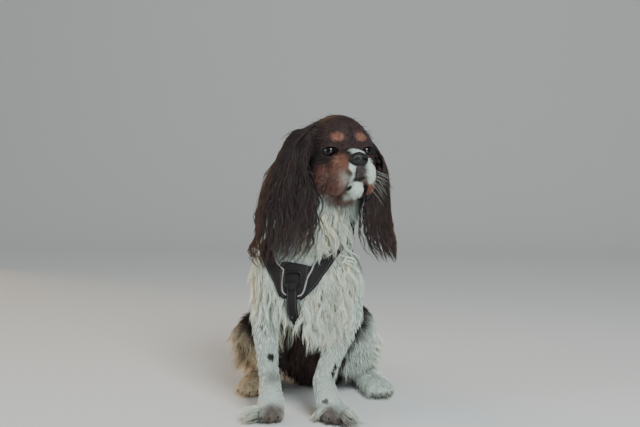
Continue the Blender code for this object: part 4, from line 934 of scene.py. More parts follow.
sizes = {item.name: item.identifier for item in tree.interface.items_tree if item.in_out == "INPUT"}
sewn[sizes["Pitch"]] = 0.0042
evaluated = stitches.evaluated_get(bpy.context.evaluated_depsgraph_get())
stitch_mesh = bpy.data.meshes.new_from_object(evaluated)
stitches.modifiers.remove(sewn)
stitches.data = stitch_mesh
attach(stitches, "root")

# Buckles: side-release buckles of moulded acetal on the girth, with a waist where the prongs are pressed.
plastic, plastic_shader = new_material(
    "moulded_acetal", Base_Color=(*linear("#17171A"), 1.0), Roughness=0.42)
plastic_place = new_node(plastic, "ShaderNodeTexCoord")
# Spark-eroded texture of the mould, about 0.7 mm from grain to grain
mould = new_node(plastic, "ShaderNodeTexNoise", inputs={"Vector": plastic_place.outputs["Object"], "Scale": 1400.0, "Detail": 3.0})
plastic_bump = new_node(plastic, "ShaderNodeBump", inputs={"Strength": 0.25, "Distance": 0.0002, "Height": mould.outputs["Fac"]})
plastic.node_tree.links.new(plastic_bump.outputs["Normal"], plastic_shader.inputs["Normal"])
for name, side in (("left", 1), ("right", -1)):
    girth = [(side * x, y, z) for x, y, z in GIRTH]
    across_girth = [curve_through(girth, 0.38 + 0.18 * k / 4) for k in range(5)]
    mesh, _ = band("buckle_" + name, across_girth, (0.024, 0.027, 0.026, 0.021, 0.021, 0.026, 0.027, 0.024),
                   0.0052, (STRAP_LIFT + STRAP_THICKNESS + 0.0003,) * 2, 0.25)
    piece = new_object("buckle_" + name, mesh, plastic)
    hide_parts("harness_buckle_" + name)
    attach(piece, "root")

# Rings: rectangles of 3 mm steel wire with rounded corners, blackened, each held at its lower bar by a sewn tab.
steel, steel_shader = new_material(
    "blackened_steel_wire", Base_Color=(*linear("#3E3A38"), 1.0), Metallic=1.0, Roughness=0.36)
steel_place = new_node(steel, "ShaderNodeTexCoord")
# Scuffs of the coating, a few millimetres apart
scuffs = new_node(steel, "ShaderNodeTexNoise", inputs={"Vector": steel_place.outputs["Object"], "Scale": 350.0, "Detail": 4.0})
steel_bump = new_node(steel, "ShaderNodeBump", inputs={"Strength": 0.2, "Distance": 0.0002, "Height": scuffs.outputs["Fac"]})
steel.node_tree.links.new(steel_bump.outputs["Normal"], steel_shader.inputs["Normal"])
RING_WIRE, RING_WIDTH, RING_LENGTH, RING_CORNER, RING_LIFT = 0.0015, 0.025, 0.022, 0.004, 0.008
for name, bar, down in (
        ("front", (-0.0110, -0.150, 0.2110), Vector((0, 0, -1))), ("back", (0, 0.038, 0.268), Vector((0, 1, -0.5)))):
    bar = Vector(on_coat([bar], RING_LIFT)[0])
    corners = []
    for sx, sz, first in ((1, 1, 0), (-1, 1, 90), (-1, -1, 180), (1, -1, 270)):
        for k in range(7):
            angle = math.radians(first + 15 * k)
            x = sx * (RING_WIDTH / 2 - RING_CORNER) + RING_CORNER * math.cos(angle)
            z = sz * (RING_LENGTH / 2 - RING_CORNER) + RING_CORNER * math.sin(angle)
            corners.append(bar + Vector((x, 0, z + RING_LENGTH / 2)))
    ring = new_object("ring_" + name, tube("ring_" + name, [corners], RING_WIRE, 12, closed=True), steel)
    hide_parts("harness_ring_" + name)
    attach(ring, "root")
    mesh, _ = band("ring_tab_" + name, [bar + down * reach for reach in (-0.005, 0.0, 0.005)], (0.013, 0.013),
                   0.0040, (ON_PLATE + 0.0015,) * 2, 0.2)
    tab = new_object("ring_tab_" + name, mesh, webbing)
    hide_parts("harness_ring_tab_" + name)
    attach(tab, "root")

# Short coat: tufts a few millimetres to two centimetres long that root in the skin and lie along the body, on a
# curve that follows its surface. Each tuft is a closed three-sided blade.
# Frame, place, lie, length, lift off the skin, reach; rows with a side are mirrored
COAT_LIE = (
    ("head", (0.0, -0.010, 0.062), (0.0, 1.0, -0.10), 0.012, 0.20, 0.030),
    ("head", (0.0, 0.045, 0.040), (0.0, 0.5, -0.80), 0.018, 0.20, 0.030),
    ("head", (0.0, -0.048, 0.030), (0.0, 0.6, 1.00), 0.0065, 0.12, 0.020),
    ("head", (0.0, -0.060, 0.002), (0.0, 1.0, 0.40), 0.0040, 0.10, 0.014),
    ("head", (0.0, -0.086, -0.034), (0.0, 0.3, -1.00), 0.0036, 0.10, 0.010),
    ("head", (0.0, -0.068, -0.066), (0.0, 0.8, -0.70), 0.0042, 0.10, 0.010),
    ("head", (0.0, -0.045, -0.074), (0.0, 1.0, -0.40), 0.0055, 0.10, 0.014),
    ("head", (0.0, -0.020, -0.074), (0.0, 1.0, -0.50), 0.014, 0.30, 0.025),
    ("sides", (0.020, -0.074, -0.034), (0.45, 0.8, -0.55), 0.0042, 0.10, 0.012),
    ("sides", (0.028, -0.058, -0.052), (0.20, 0.7, -0.80), 0.0056, 0.14, 0.014),
    ("sides", (0.034, -0.036, -0.038), (0.20, 0.9, -0.50), 0.0070, 0.12, 0.018),
    ("sides", (0.028, -0.045, 0.016), (0.50, 0.7, 0.60), 0.0055, 0.12, 0.012),
    ("sides", (0.038, -0.030, -0.012), (0.30, 0.9, -0.30), 0.0065, 0.12, 0.014),
    ("sides", (0.045, -0.005, 0.035), (0.70, 0.4, -0.60), 0.013, 0.20, 0.024),
    ("sides", (0.048, 0.005, -0.030), (0.20, 0.6, -0.80), 0.014, 0.25, 0.024),
    ("body", (0.030, -0.020, 0.370), (-0.15, 0.5, -1.00), 0.024, 0.20, 0.050),
    ("body", (0.030, -0.125, 0.320), (0.00, -0.1, -1.00), 0.024, 0.14, 0.050),
    ("body", (-0.025, -0.070, 0.320), (-0.20, 0.2, -1.00), 0.022, 0.20, 0.050),
    ("body", (0.075, -0.070, 0.320), (0.20, 0.2, -1.00), 0.022, 0.20, 0.050),
    ("body", (0.0, -0.150, 0.210), (0.00, -0.1, -1.00), 0.024, 0.12, 0.050),
    ("mirrored", (0.085, -0.075, 0.220), (0.10, 0.25, -1.00), 0.020, 0.12, 0.050),
    ("body", (0.0, 0.010, 0.285), (0.00, 1.0, -0.60), 0.020, 0.15, 0.060),
    ("body", (0.0, 0.075, 0.200), (0.00, 0.8, -1.00), 0.022, 0.18, 0.060),
    ("body", (0.0, 0.145, 0.100), (0.00, 0.7, -1.00), 0.024, 0.25, 0.060),
    ("mirrored", (0.070, 0.030, 0.190), (0.10, 0.6, -0.90), 0.022, 0.20, 0.060),
    ("body", (0.0, -0.020, 0.080), (0.00, 0.3, -1.00), 0.026, 0.35, 0.050),
    ("mirrored", (0.110, 0.030, 0.110), (0.10, 0.35, -1.00), 0.020, 0.22, 0.050),
    ("mirrored", (0.105, 0.090, 0.050), (0.10, 0.4, -1.00), 0.022, 0.35, 0.040),
    ("mirrored", (0.110, -0.005, 0.022), (0.10, -1.0, -0.35), 0.010, 0.25, 0.024),
    ("mirrored", (0.066, -0.095, 0.150), (0.05, 0.10, -1.00), 0.013, 0.18, 0.035),
    ("mirrored", (0.045, -0.120, 0.070), (0.00, 0.10, -1.00), 0.0085, 0.15, 0.035),
    ("mirrored", (0.050, -0.150, 0.020), (0.00, -1.0, -0.50), 0.0065, 0.12, 0.020),
    ("body", (0.0, 0.150, 0.035), (0.05, 1.0, -0.10), 0.026, 0.15, 0.040),
    ("body", (0.020, 0.235, 0.012), (0.15, 1.0, 0.00), 0.030, 0.20, 0.050),
)
SHORT_TUFTS = 36500
SEED = 11


def lie_anchors():
    """Places, lies, lengths, lifts and reaches of the coat in the drawn frame, with both sides of each pair."""
    rows = []
    for where, place, lie, length, lift, reach in COAT_LIE:
        for side in ((-1, 1) if where in ("sides", "mirrored") else (1,)):
            here, along = Vector(place), Vector(lie)
            here.x *= side
            along.x *= side
            if where in ("head", "sides"):
                here, along = in_head(*here), HEAD_TURN @ along
            rows.append((*here, *along.normalized(), length, lift, reach))
    return np.array(rows)


def lie_of(points):
    """Lie, length and lift of the coat at points, blended between the anchors near them."""
    anchors = lie_anchors()
    lies, lengths, lifts = [], [], []
    for start in range(0, len(points), 20000):
        chunk = points[start:start + 20000]
        gap = np.linalg.norm(chunk[:, None] - anchors[None, :, :3], axis=-1) / anchors[:, 8]
        weight = np.exp(-(gap**2 - (gap**2).min(axis=1, keepdims=True)))
        weight /= weight.sum(axis=1, keepdims=True)
        lies.append(weight @ anchors[:, 3:6])
        lengths.append(weight @ anchors[:, 6])
        lifts.append(weight @ anchors[:, 7])
    return np.concatenate(lies), np.concatenate(lengths), np.concatenate(lifts)


def skin_roots(mesh, count, density, rng):
    """Random places on the skin with their place on its unwrap, as many as asked, thicker where density is more."""
    corners = np.empty(len(mesh.loops), int)
    mesh.loops.foreach_get("vertex_index", corners)
    maps = np.empty(len(mesh.loops) * 2)
    mesh.uv_layers["OFBake"].data.foreach_get("uv", maps)
    places = vertex_places(mesh)[corners].reshape(-1, 3, 3) - np.array(TO_SOLIDS)
    maps = maps.reshape(-1, 3, 2)
    areas = np.linalg.norm(np.cross(places[:, 1] - places[:, 0], places[:, 2] - places[:, 0]), axis=1)
    chance = areas * density(places.mean(axis=1))
    chosen = rng.choice(len(areas), size=count, p=chance / chance.sum())
    share = rng.random((count, 2))
    flipped = share.sum(axis=1) > 1.0
    share[flipped] = 1.0 - share[flipped]
    weights = np.column_stack([1.0 - share.sum(axis=1), share])[:, :, None]
    return (places[chosen] * weights).sum(axis=1), (maps[chosen] * weights).sum(axis=1)


def follow(roots, lies, lengths, lifts, steps, distance, rng, wave=0.15, droop=0.0, sink=0.0008, floor=0.0012, curls=(4.0, 7.0)):
    """Paths of hairs from their roots along their lie, which sway, droop and stay over the skin."""
    outs = slope_of(distance, roots)
    point = roots - outs * sink
    paths, faces = [point], [outs]
    phase = rng.uniform(0, math.tau, len(roots))
    rate = rng.uniform(*curls, len(roots))
    base = distance(roots)
    for step in range(1, steps):
        t = step / (steps - 1)
        near = distance(point)
        fresh = slope_of(distance, point)
        outs = np.where((near < 0.02)[:, None], unit(outs + fresh * 0.8), outs)
        sway = unit(np.cross(lies, outs)) * (wave * np.sin(phase + rate * t))[:, None]
        heading = lies + sway + np.array((0.0, 0.0, -droop * t))
        heading = heading - outs * np.minimum((heading * outs).sum(axis=1), 0.0)[:, None]
        heading = unit(unit(heading) + outs * (lifts * (1.3 - 0.6 * t))[:, None])
        point = point + heading * (lengths / (steps - 1))[:, None]
        floor_height = base + (0.0006 + 0.06 * lengths * t)
        short = np.maximum(floor_height - distance(point), 0.0)
        point = point + fresh * short[:, None]
        point[:, 2] = np.maximum(point[:, 2], floor)
        paths.append(point)
        faces.append(outs)
    return np.stack(paths, axis=1), np.stack(faces, axis=1)


def tuft_mesh(name, paths, faces, widths, colours, maps, tips=None, thickness=0.4):
    """Closed three-sided blades along the paths, each with its colour and a patch of the unwrap."""
    count, steps = paths.shape[:2]
    along = np.gradient(paths, axis=1)
    across = unit(np.cross(along, faces))
    ridge = unit(np.cross(across, along))
    share = np.linspace(0.0, 1.0, steps)
    half = widths[:, None] / 2 * (np.minimum(0.5 + 2.5 * share, 1.0) * (1.0 - share**2.2))[None]
    sections = np.stack([
        paths - across * half[..., None], paths + ridge * (half * thickness * 2)[..., None],
        paths + across * half[..., None]], axis=2)[:, :-1].reshape(count, -1, 3)
    points = np.concatenate([sections, paths[:, -1:]], axis=1)
    per_tuft = points.shape[1]
    triangles = [(0, 1, 2)]
    for ring in range(steps - 2):
        for k in range(3):
            j = (k + 1) % 3
            a, b, c, d = 3 * ring + k, 3 * ring + j, 3 * ring + 3 + j, 3 * ring + 3 + k
            triangles += [(a, c, b), (a, d, c)]
    last = 3 * (steps - 2)
    triangles += [(last + k, per_tuft - 1, last + (k + 1) % 3) for k in range(3)]
    triangles = np.array(triangles)
    loops = (triangles[None] + (np.arange(count) * per_tuft)[:, None, None]).reshape(-1).astype(np.int32)
    mesh = bpy.data.meshes.new(name)
    mesh.vertices.add(count * per_tuft)
    mesh.vertices.foreach_set("co", (points + np.array(TO_SOLIDS)).astype(np.float32).ravel())
    mesh.loops.add(len(loops))
    mesh.loops.foreach_set("vertex_index", loops)
    mesh.polygons.add(len(loops) // 3)
    mesh.polygons.foreach_set("loop_start", np.arange(0, len(loops), 3, dtype=np.int32))
    mesh.update(calc_edges=True)
    down = np.append(np.repeat(share[:-1], 3), 1.0)
    # Unless tips are given they are lightened a little as painted highlight; roots are darkened as painted shade, where
    # tufts lie in each other's shade, pale hair less
    tips = colours * 1.06 if tips is None else tips
    root_shade = 0.62 + 0.28 * np.clip(colours.mean(axis=1) / WHITE.mean(), 0.0, 1.0)[:, None, None]
    shades = root_shade + (1.0 - root_shade) * np.minimum(down * 2.0, 1.0)[None, :, None]
    run = (down**1.5)[None, :, None]
    paint(mesh, np.clip(((colours[:, None] * (1.0 - run) + tips[:, None] * run) * shades).reshape(-1, 3), 0.0, 1.0))
    beside = np.append(np.tile((0.0, 0.5, 1.0), steps - 1), 0.5)
    patch = np.stack([beside - 0.5, down - 0.5], axis=-1) * BAKE_PATCH
    layer = mesh.uv_layers.new(name="OFBake")
    layer.data.foreach_set("uv", (maps[:, None] + patch[None]).reshape(-1, 2)[loops].astype(np.float32).ravel())
    return mesh


BAKE_PATCH = 0.003
MOST_TRIANGLES = 190000

hair, hair_shader = new_material(
    "silky_dog_hair", Roughness=0.44, Specular_IOR_Level=0.38, Sheen_Weight=0.05, Sheen_Roughness=0.35)
hair_marking = new_node(hair, "ShaderNodeVertexColor", {"layer_name": "Coat"})
hair_place = new_node(hair, "ShaderNodeTexCoord")
# Each blade stands for a few dozen hairs, told apart by streaks 0.4 mm wide
hair_scale = new_node(hair, "ShaderNodeMapping", inputs={"Vector": hair_place.outputs["Object"], "Scale": (2500.0, 2500.0, 300.0)})
hair_streaks = new_node(hair, "ShaderNodeTexNoise", inputs={"Vector": hair_scale.outputs["Vector"], "Scale": 1.0, "Detail": 2.0})
hair_shade = new_node(hair, "ShaderNodeMapRange", inputs={
    "Value": hair_streaks.outputs["Fac"], "From Min": 0.3, "From Max": 0.7, "To Min": 0.75, "To Max": 1.15})
hair_tinted = new_node(hair, "ShaderNodeVectorMath", {"operation": "MULTIPLY"}, {0: hair_marking.outputs["Color"], 1: hair_shade.outputs["Result"]})
hair_bump = new_node(hair, "ShaderNodeBump", inputs={"Strength": 0.4, "Distance": 0.0003, "Height": hair_streaks.outputs["Fac"]})
hair.node_tree.links.new(hair_tinted.outputs["Vector"], hair_shader.inputs["Base Color"])
hair.node_tree.links.new(hair_bump.outputs["Normal"], hair_shader.inputs["Normal"])


# Hairs end within 3 % of the solids' size and 8 mm of their box
coat_margin = 0.03 * (np.array(solid_bounds[1]) - np.array(solid_bounds[0])) + 0.008
coat_low = np.array(solid_bounds[0]) - coat_margin - np.array(TO_SOLIDS)
coat_high = np.array(solid_bounds[1]) + coat_margin - np.array(TO_SOLIDS)


def grow(name, paths, faces, widths, colours, maps, tips=None):
    """Makes pieces of the coat from hair paths, as few as stay under the limit of triangles each."""
    inside = ((paths > coat_low) & (paths < coat_high)).all(axis=(1, 2))
    paths, faces, widths, colours, maps = (values[inside] for values in (paths, faces, widths, colours, maps))
    tips = None if tips is None else tips[inside]
    per_tuft = (paths.shape[1] - 2) * 6 + 4
    most = MOST_TRIANGLES // per_tuft
    parts = math.ceil(len(paths) / most)
    for part in range(parts):
        rows = slice(part * most, (part + 1) * most)
        label = name if parts == 1 else f"{name}_{part + 1}"
        ends = None if tips is None else tips[rows]
        mesh = tuft_mesh(label, paths[rows], faces[rows], widths[rows], colours[rows], maps[rows], ends)
        piece = new_object(label, mesh, hair)
        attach(piece, "root")


def short_density(points):
    """Tufts for each square metre, as a share: thick on the face, thin where long locks cover the coat."""
    local = (points - np.array(HEAD_CENTRE)) @ np.array(HEAD_TURN)
    face = (local[:, 1] < 0.02) & (np.linalg.norm(local, axis=1) < 0.10)
    ear = body_field.at(points) > 0.004
    bare = bare_share(points) > 0.3
    under = points[:, 2] < 0.002
    return np.where(face, 3.2, 1.0) * np.where(ear, 0.5, 1.0) * np.where(bare | under, 0.0, 1.0)


harness_places = np.concatenate(BANDS)
harness_tree = KDTree(len(harness_places))
for index, place in enumerate(harness_places):
    harness_tree.insert(place, index)
harness_tree.balance()
harness_low, harness_high = harness_places.min(axis=0) - 0.005, harness_places.max(axis=0) + 0.005


def parted(paths, rng, strays=0.03, room=0.0042):
    """Which hairs don't lie across the harness; a few strays do."""
    flat = paths.reshape(-1, 3)
    near = ((flat > harness_low) & (flat < harness_high)).all(axis=1)
    near[near] = body_field.at(flat[near]) > STRAP_LIFT + 0.5 * STRAP_THICKNESS
    over = np.zeros(len(flat), bool)
    for index in np.nonzero(near)[0]:
        over[index] = harness_tree.find(flat[index])[2] < room
    over = over.reshape(paths.shape[:-1]).any(axis=-1)
    return ~over | (rng.random(over.shape) < strays)


rng = np.random.default_rng(SEED)
roots, root_maps = skin_roots(skin_mesh, SHORT_TUFTS, short_density, rng)
lies, lengths, lifts = lie_of(roots)
lies = unit(lies + rng.normal(0.0, 0.10, lies.shape))
lengths = lengths * rng.uniform(0.7, 1.25, len(roots))
# Hair stops short of the line of the mouth
lengths = np.minimum(lengths, np.maximum(lip_distance((roots - np.array(HEAD_CENTRE)) @ np.array(HEAD_TURN)), 0.0015))
order = np.argsort(roots[:, 2])
roots, root_maps, lies, lengths, lifts = (values[order] for values in (roots, root_maps, lies, lengths, lifts))
paths, faces = follow(roots, lies, lengths, lifts, 4, skin_field_at, rng)
widths = np.clip(lengths * 0.09, 0.0006, 0.0012) * rng.uniform(0.8, 1.3, len(roots))
# A tuft's visible half lies past its root, so the marking there is its colour; hair beside the line of the mouth is
# darkened as painted shade of its crease
colours = coat_colours(paths[:, 1]) * rng.normal(1.0, 0.12, (len(roots), 1))
beside_lips = lip_distance((paths[:, 1] - np.array(HEAD_CENTRE)) @ np.array(HEAD_TURN))
colours = colours * np.clip(0.15 + beside_lips / 0.0042, 0.15, 1.0)[:, None]
kept = parted(paths, rng)
grow("coat_short", paths[kept], faces[kept], widths[kept], colours[kept], root_maps[kept])

# Long coat: locks of silky hair, each ten or so thin strands that start apart and close up towards a fine tip.
# They hang in waves on the ears, throat, chest and tail, and fringe the backs of the legs.
STRANDS, EAR_STRANDS = 10, 7


def comb(guides, faces, count, spread, rng, close=0.45):
    """Strands round each guide: copies that start apart, close up towards the tip and end at different lengths."""
    number, steps = guides.shape[:2]
    angle = rng.uniform(0, math.tau, (number, count))
    radius = np.sqrt(rng.random((number, count))) * spread
    share = np.linspace(0.0, 1.0, steps)
    reach = rng.uniform(0.78, 1.0, (number, count, 1)) * share[None, None] * (steps - 1)
    low = np.minimum(reach.astype(int), steps - 2)
    part = (reach - low)[..., None]
    rows = np.arange(number)[:, None, None]
    paths = guides[rows, low] * (1 - part) + guides[rows, low + 1] * part
    fronts = faces[rows, low]
    along = np.gradient(guides, axis=1)
    across = unit(np.cross(along, faces))[rows, low]
    frizz = 0.0012 * np.sin(rng.uniform(0, math.tau, (number, count, 1)) + share * rng.uniform(6, 14, (number, count, 1))) * share
    size = (1.0 - close * share**0.8)[None, None]
    sideways = radius[..., None] * np.cos(angle)[..., None] * size + frizz
    outwards = radius[..., None] * np.sin(angle)[..., None] * size * 0.55
    paths = paths + across * sideways[..., None] + fronts * outwards[..., None]
    paths[..., 2] = np.maximum(paths[..., 2], 0.0012)
    return paths.reshape(-1, steps, 3), fronts.reshape(-1, steps, 3)


def nearest_maps(points, rng):
    """The place on the unwrap of the skin nearest to each point."""
    tree = MAP_TREE
    found = np.array([tree.find(point)[1] for point in points])
    return ROOT_MAPS[found]


MAP_TREE_SIZE = 20000
sample_places, ROOT_MAPS = skin_roots(skin_mesh, MAP_TREE_SIZE, lambda points: np.ones(len(points)), rng)
MAP_TREE = KDTree(MAP_TREE_SIZE)
for index, sample in enumerate(sample_places):
    MAP_TREE.insert(sample, index)
MAP_TREE.balance()


def lock_shades(number, count, rng, spread):
    """A brightness for each strand: one for its lock and a little of its own."""
    return np.maximum(rng.normal(1.0, spread, (number, 1)) * rng.normal(1.0, 0.08, (number, count)), 0.3).reshape(-1, 1)


def ear_locks(ear, number, across, start, length, lift, inner, sway, rng):
    """Guides down an ear's sheet from random roots, in the crimped waves of silky hair."""
    u = rng.uniform(*across, number)
    v = rng.uniform(*start, number)
    tip = np.minimum(v + rng.uniform(*length, number), rng.uniform(0.90, 1.06, number))
    phase, rate = rng.uniform(0, math.tau, number), rng.uniform(0.8, 1.3, number) * (tip - v) * EAR_WAVES * math.tau
    sway = rng.uniform(*sway, number)
    drift = rng.normal(0.0, 0.06, number)
    paths, faces = [], []
    for step in range(EAR_STEPS):
        t = step / (EAR_STEPS - 1)
        here = v + (tip - v) * t
        beside = 0.5 + (u - 0.5) * (1.0 - 0.25 * np.maximum(here - 0.7, 0.0))
        beside = beside + drift * t + sway * np.sin(phase + rate * t) * min(2.5 * t, 1.0)
        height = lift * min(4 * t, 1.0) + 0.0022 * np.sin(phase * 1.7 + rate * t) * t + 0.004 * t * inner
        over = np.maximum(np.abs(beside - 0.5) - 0.5, 0.0) * np.sign(beside - 0.5)
        side = ear.at(np.clip(beside, 0.0, 1.0), here, height)
        side = side + unit(ear.at(np.ones(number), here) - ear.at(np.zeros(number), here)) * (over * EAR_WIDTH)[:, None]
        paths.append(side)
        faces.append(unit(ear.read(ear.outs, beside, here)) * inner)
    return np.stack(paths, axis=1), np.stack(faces, axis=1), np.clip(u, 0, 1)


EAR_STEPS = 13
EAR_WAVES = 8.0
EAR_WIDTH = 0.08
EVEN, LOOSE = (0.022, 0.045), (0.05, 0.12)
# Red-brown of sun-bleached black hair, also used as painted warm rim light on the ears' rear edges
BLEACHED_AND_RIM_LIT = linear("#654026")
for name, ear in ears.items():
    tiers = [ear_locks(ear, 90, (0.02, 0.98), (0.00, 0.12), (0.20, 0.36), 0.0036, 1.0, EVEN, rng),
             ear_locks(ear, 110, (0.02, 0.98), (0.08, 0.36), (0.30, 0.50), 0.0055, 1.0, EVEN, rng),
             ear_locks(ear, 90, (0.02, 0.98), (0.28, 0.46), (0.40, 0.60), 0.0045, 1.0, EVEN, rng),
             ear_locks(ear, 36, (0.93, 1.02), (0.20, 0.70), (0.14, 0.26), 0.0030, 1.0, LOOSE, rng),
             ear_locks(ear, 40, (0.02, 0.98), (0.25, 0.46), (0.40, 0.60), -0.0035, -1.0, EVEN, rng)]
    guides = np.concatenate([paths for paths, _, _ in tiers])
    faces = np.concatenate([faces for _, faces, _ in tiers])
    rear = np.concatenate([across for _, _, across in tiers])
    paths, fronts = comb(guides, faces, EAR_STRANDS, 0.0038, rng, 0.75)
    shades = lock_shades(len(guides), EAR_STRANDS, rng, 0.34)
    # Tips turn warm brown, most towards each ear's rear edge: partly bleached hair, partly painted warm rim light from
    # behind
    bleach_and_rim_light = np.clip(0.04 + 0.8 * np.maximum(rear - 0.80, 0.0) / 0.20 + rng.normal(0, 0.05, len(guides)), 0.0, 0.60)
    bleach_and_rim_light = np.repeat(bleach_and_rim_light, EAR_STRANDS)[:, None]
    # Roots are darkened as painted shade and tips lightened, partly as painted highlight, so each lock's end shows
    colours = BLACK * shades * 0.8
    tips = (BLACK * 2.2 * (1.0 - bleach_and_rim_light) + BLEACHED_AND_RIM_LIT * 1.2 * bleach_and_rim_light) * shades
    maps = nearest_maps(paths[:, 0], rng)
    widths = rng.uniform(0.0008, 0.0014, len(paths))
    kept = parted(paths, rng, 0.35)
    grow(f"ear_locks_{name}", paths[kept], fronts[kept], widths[kept], colours[kept], maps[kept], tips[kept])

# Name, slot, corners of the patch, guides, lie, length, lift, wave, droop, spread of a lock
LOCKS = (
    ("crown_right", "black_coat", (in_head(-0.012, -0.006, 0.062), in_head(-0.014, 0.034, 0.056), in_head(-0.040, 0.040, 0.024), in_head(-0.038, -0.006, 0.036)),
     60, HEAD_TURN @ Vector((-0.9, 0.25, -0.9)), 0.052, 0.10, 0.25, 0.5, 0.0036),
    ("crown_left", "black_coat", (in_head(0.012, -0.006, 0.062), in_head(0.014, 0.034, 0.056), in_head(0.040, 0.040, 0.024), in_head(0.038, -0.006, 0.036)),
     50, HEAD_TURN @ Vector((0.9, 0.25, -0.9)), 0.038, 0.10, 0.25, 0.5, 0.0036),
    ("throat_locks", "white_coat", ((0.014, -0.125, 0.330), (0.082, -0.115, 0.326), (0.084, -0.105, 0.280), (-0.014, -0.125, 0.280)),
     140, (0.05, -0.15, -1.0), 0.066, 0.16, 0.90, 0.3, 0.0036),
    ("chest_locks", "white_coat", ((-0.006, -0.150, 0.262), (0.084, -0.090, 0.262), (0.064, -0.110, 0.160), (0.000, -0.140, 0.160)),
     170, (0.06, -0.15, -1.0), 0.072, 0.13, 0.80, 0.3, 0.0036),
    ("chest_side_locks", "white_coat", ((-0.084, -0.090, 0.270), (-0.036, -0.150, 0.270), (-0.028, -0.140, 0.165), (-0.080, -0.100, 0.165)),
     90, (-0.05, -0.10, -1.0), 0.050, 0.10, 0.55, 0.3, 0.0034),
    ("throat_curls", "white_coat", ((0.014, -0.150, 0.292), (0.080, -0.112, 0.292), (0.084, -0.105, 0.258), (0.030, -0.150, 0.258)),
     26, (0.35, -0.30, -1.0), 0.056, 0.34, 2.40, 0.2, 0.0016),
    ("bib_locks", "white_coat", ((0.000, -0.125, 0.172), (0.056, -0.110, 0.172), (0.046, -0.095, 0.150), (0.008, -0.100, 0.150)),
     70, (0.00, -0.25, -1.0), 0.060, 0.16, 0.45, 0.3, 0.0036),
    ("belly_locks", "black_coat", ((-0.048, -0.062, 0.130), (0.048, -0.062, 0.130), (0.050, -0.030, 0.036), (-0.050, -0.030, 0.036)),
     120, (0.00, -0.15, -1.0), 0.052, 0.30, 0.40, 0.6, 0.0045),
    ("fringe_right", "white_coat", ((-0.074, -0.055, 0.160), (-0.054, -0.053, 0.160), (-0.044, -0.095, 0.052), (-0.060, -0.095, 0.052)),
     46, (0.0, 0.45, -0.85), 0.042, 0.30, 0.40, 0.3, 0.0040),
    ("fringe_left", "white_coat", ((0.054, -0.053, 0.160), (0.076, -0.053, 0.160), (0.044, -0.095, 0.054), (0.024, -0.095, 0.054)),
     46, (0.0, 0.45, -0.85), 0.042, 0.30, 0.40, 0.3, 0.0040),
    ("breeches_right", "white_coat", ((-0.134, -0.020, 0.130), (-0.110, 0.110, 0.135), (-0.100, 0.140, 0.045), (-0.125, 0.010, 0.050)),
     150, (-0.22, 0.10, -1.0), 0.058, 0.28, 1.10, 0.3, 0.0048),
    ("breeches_left", "white_coat", ((0.110, 0.040, 0.110), (0.100, 0.120, 0.120), (0.096, 0.140, 0.050), (0.112, 0.060, 0.045)),
     90, (0.20, 0.35, -1.0), 0.042, 0.28, 0.55, 0.3, 0.0045),
    ("hock_tuft_left", "white_coat", ((0.108, 0.020, 0.085), (0.104, 0.070, 0.085), (0.100, 0.080, 0.045), (0.106, 0.030, 0.045)),
     36, (1.0, 0.10, -0.70), 0.026, 0.30, 0.15, 0.2, 0.0035),
    ("nape_locks", "black_coat", ((-0.034, -0.045, 0.430), (0.104, -0.030, 0.430), (0.066, 0.010, 0.275), (-0.066, 0.010, 0.275)),
     160, (-0.10, 0.35, -1.0), 0.038, 0.15, 0.40, 0.2, 0.0042),
    ("tail_plume", "black_coat", ((-0.016, 0.150, 0.040), (0.024, 0.150, 0.040), (0.036, 0.250, 0.018), (0.006, 0.250, 0.018)),
     110, (0.12, 1.0, -0.05), 0.070, 0.12, 0.35, 0.35, 0.0045),
    ("toe_tuft_right", "white_coat", ((-0.068, -0.138, 0.026), (-0.058, -0.156, 0.024), (-0.058, -0.156, 0.008), (-0.068, -0.138, 0.008)),
     44, (-0.95, -0.5, -0.35), 0.032, 0.16, 0.15, 0.3, 0.0036),
    ("toe_tuft_left", "white_coat", ((0.074, -0.138, 0.026), (0.064, -0.158, 0.024), (0.064, -0.158, 0.008), (0.074, -0.138, 0.008)),
     36, (0.9, -0.7, -0.35), 0.028, 0.16, 0.15, 0.3, 0.0034),
    ("inner_toe_tuft_left", "white_coat", ((0.036, -0.130, 0.024), (0.044, -0.152, 0.022), (0.044, -0.152, 0.008), (0.036, -0.130, 0.008)),
     20, (-0.7, -0.4, -0.6), 0.020, 0.16, 0.15, 0.5, 0.0030),
)
LOCK_CURLS = (6.0, 12.0)
AGED = linear("#CFC2A6")


def patch_roots(corners, number, rng):
    """Random places on the flesh over the patch between four corners."""
    first, second, third, fourth = (np.array(corner) for corner in corners)
    across, down = rng.random((number, 1)), rng.random((number, 1))
    top, bottom = first + (second - first) * across, fourth + (third - fourth) * across
    points = top + (bottom - top) * down
    for _ in range(6):
        points = points - slope_of(skin_field_at, points) * skin_field_at(points)[:, None]
    return points - slope_of(skin_field_at, points) * coat_depth(points)[:, None]


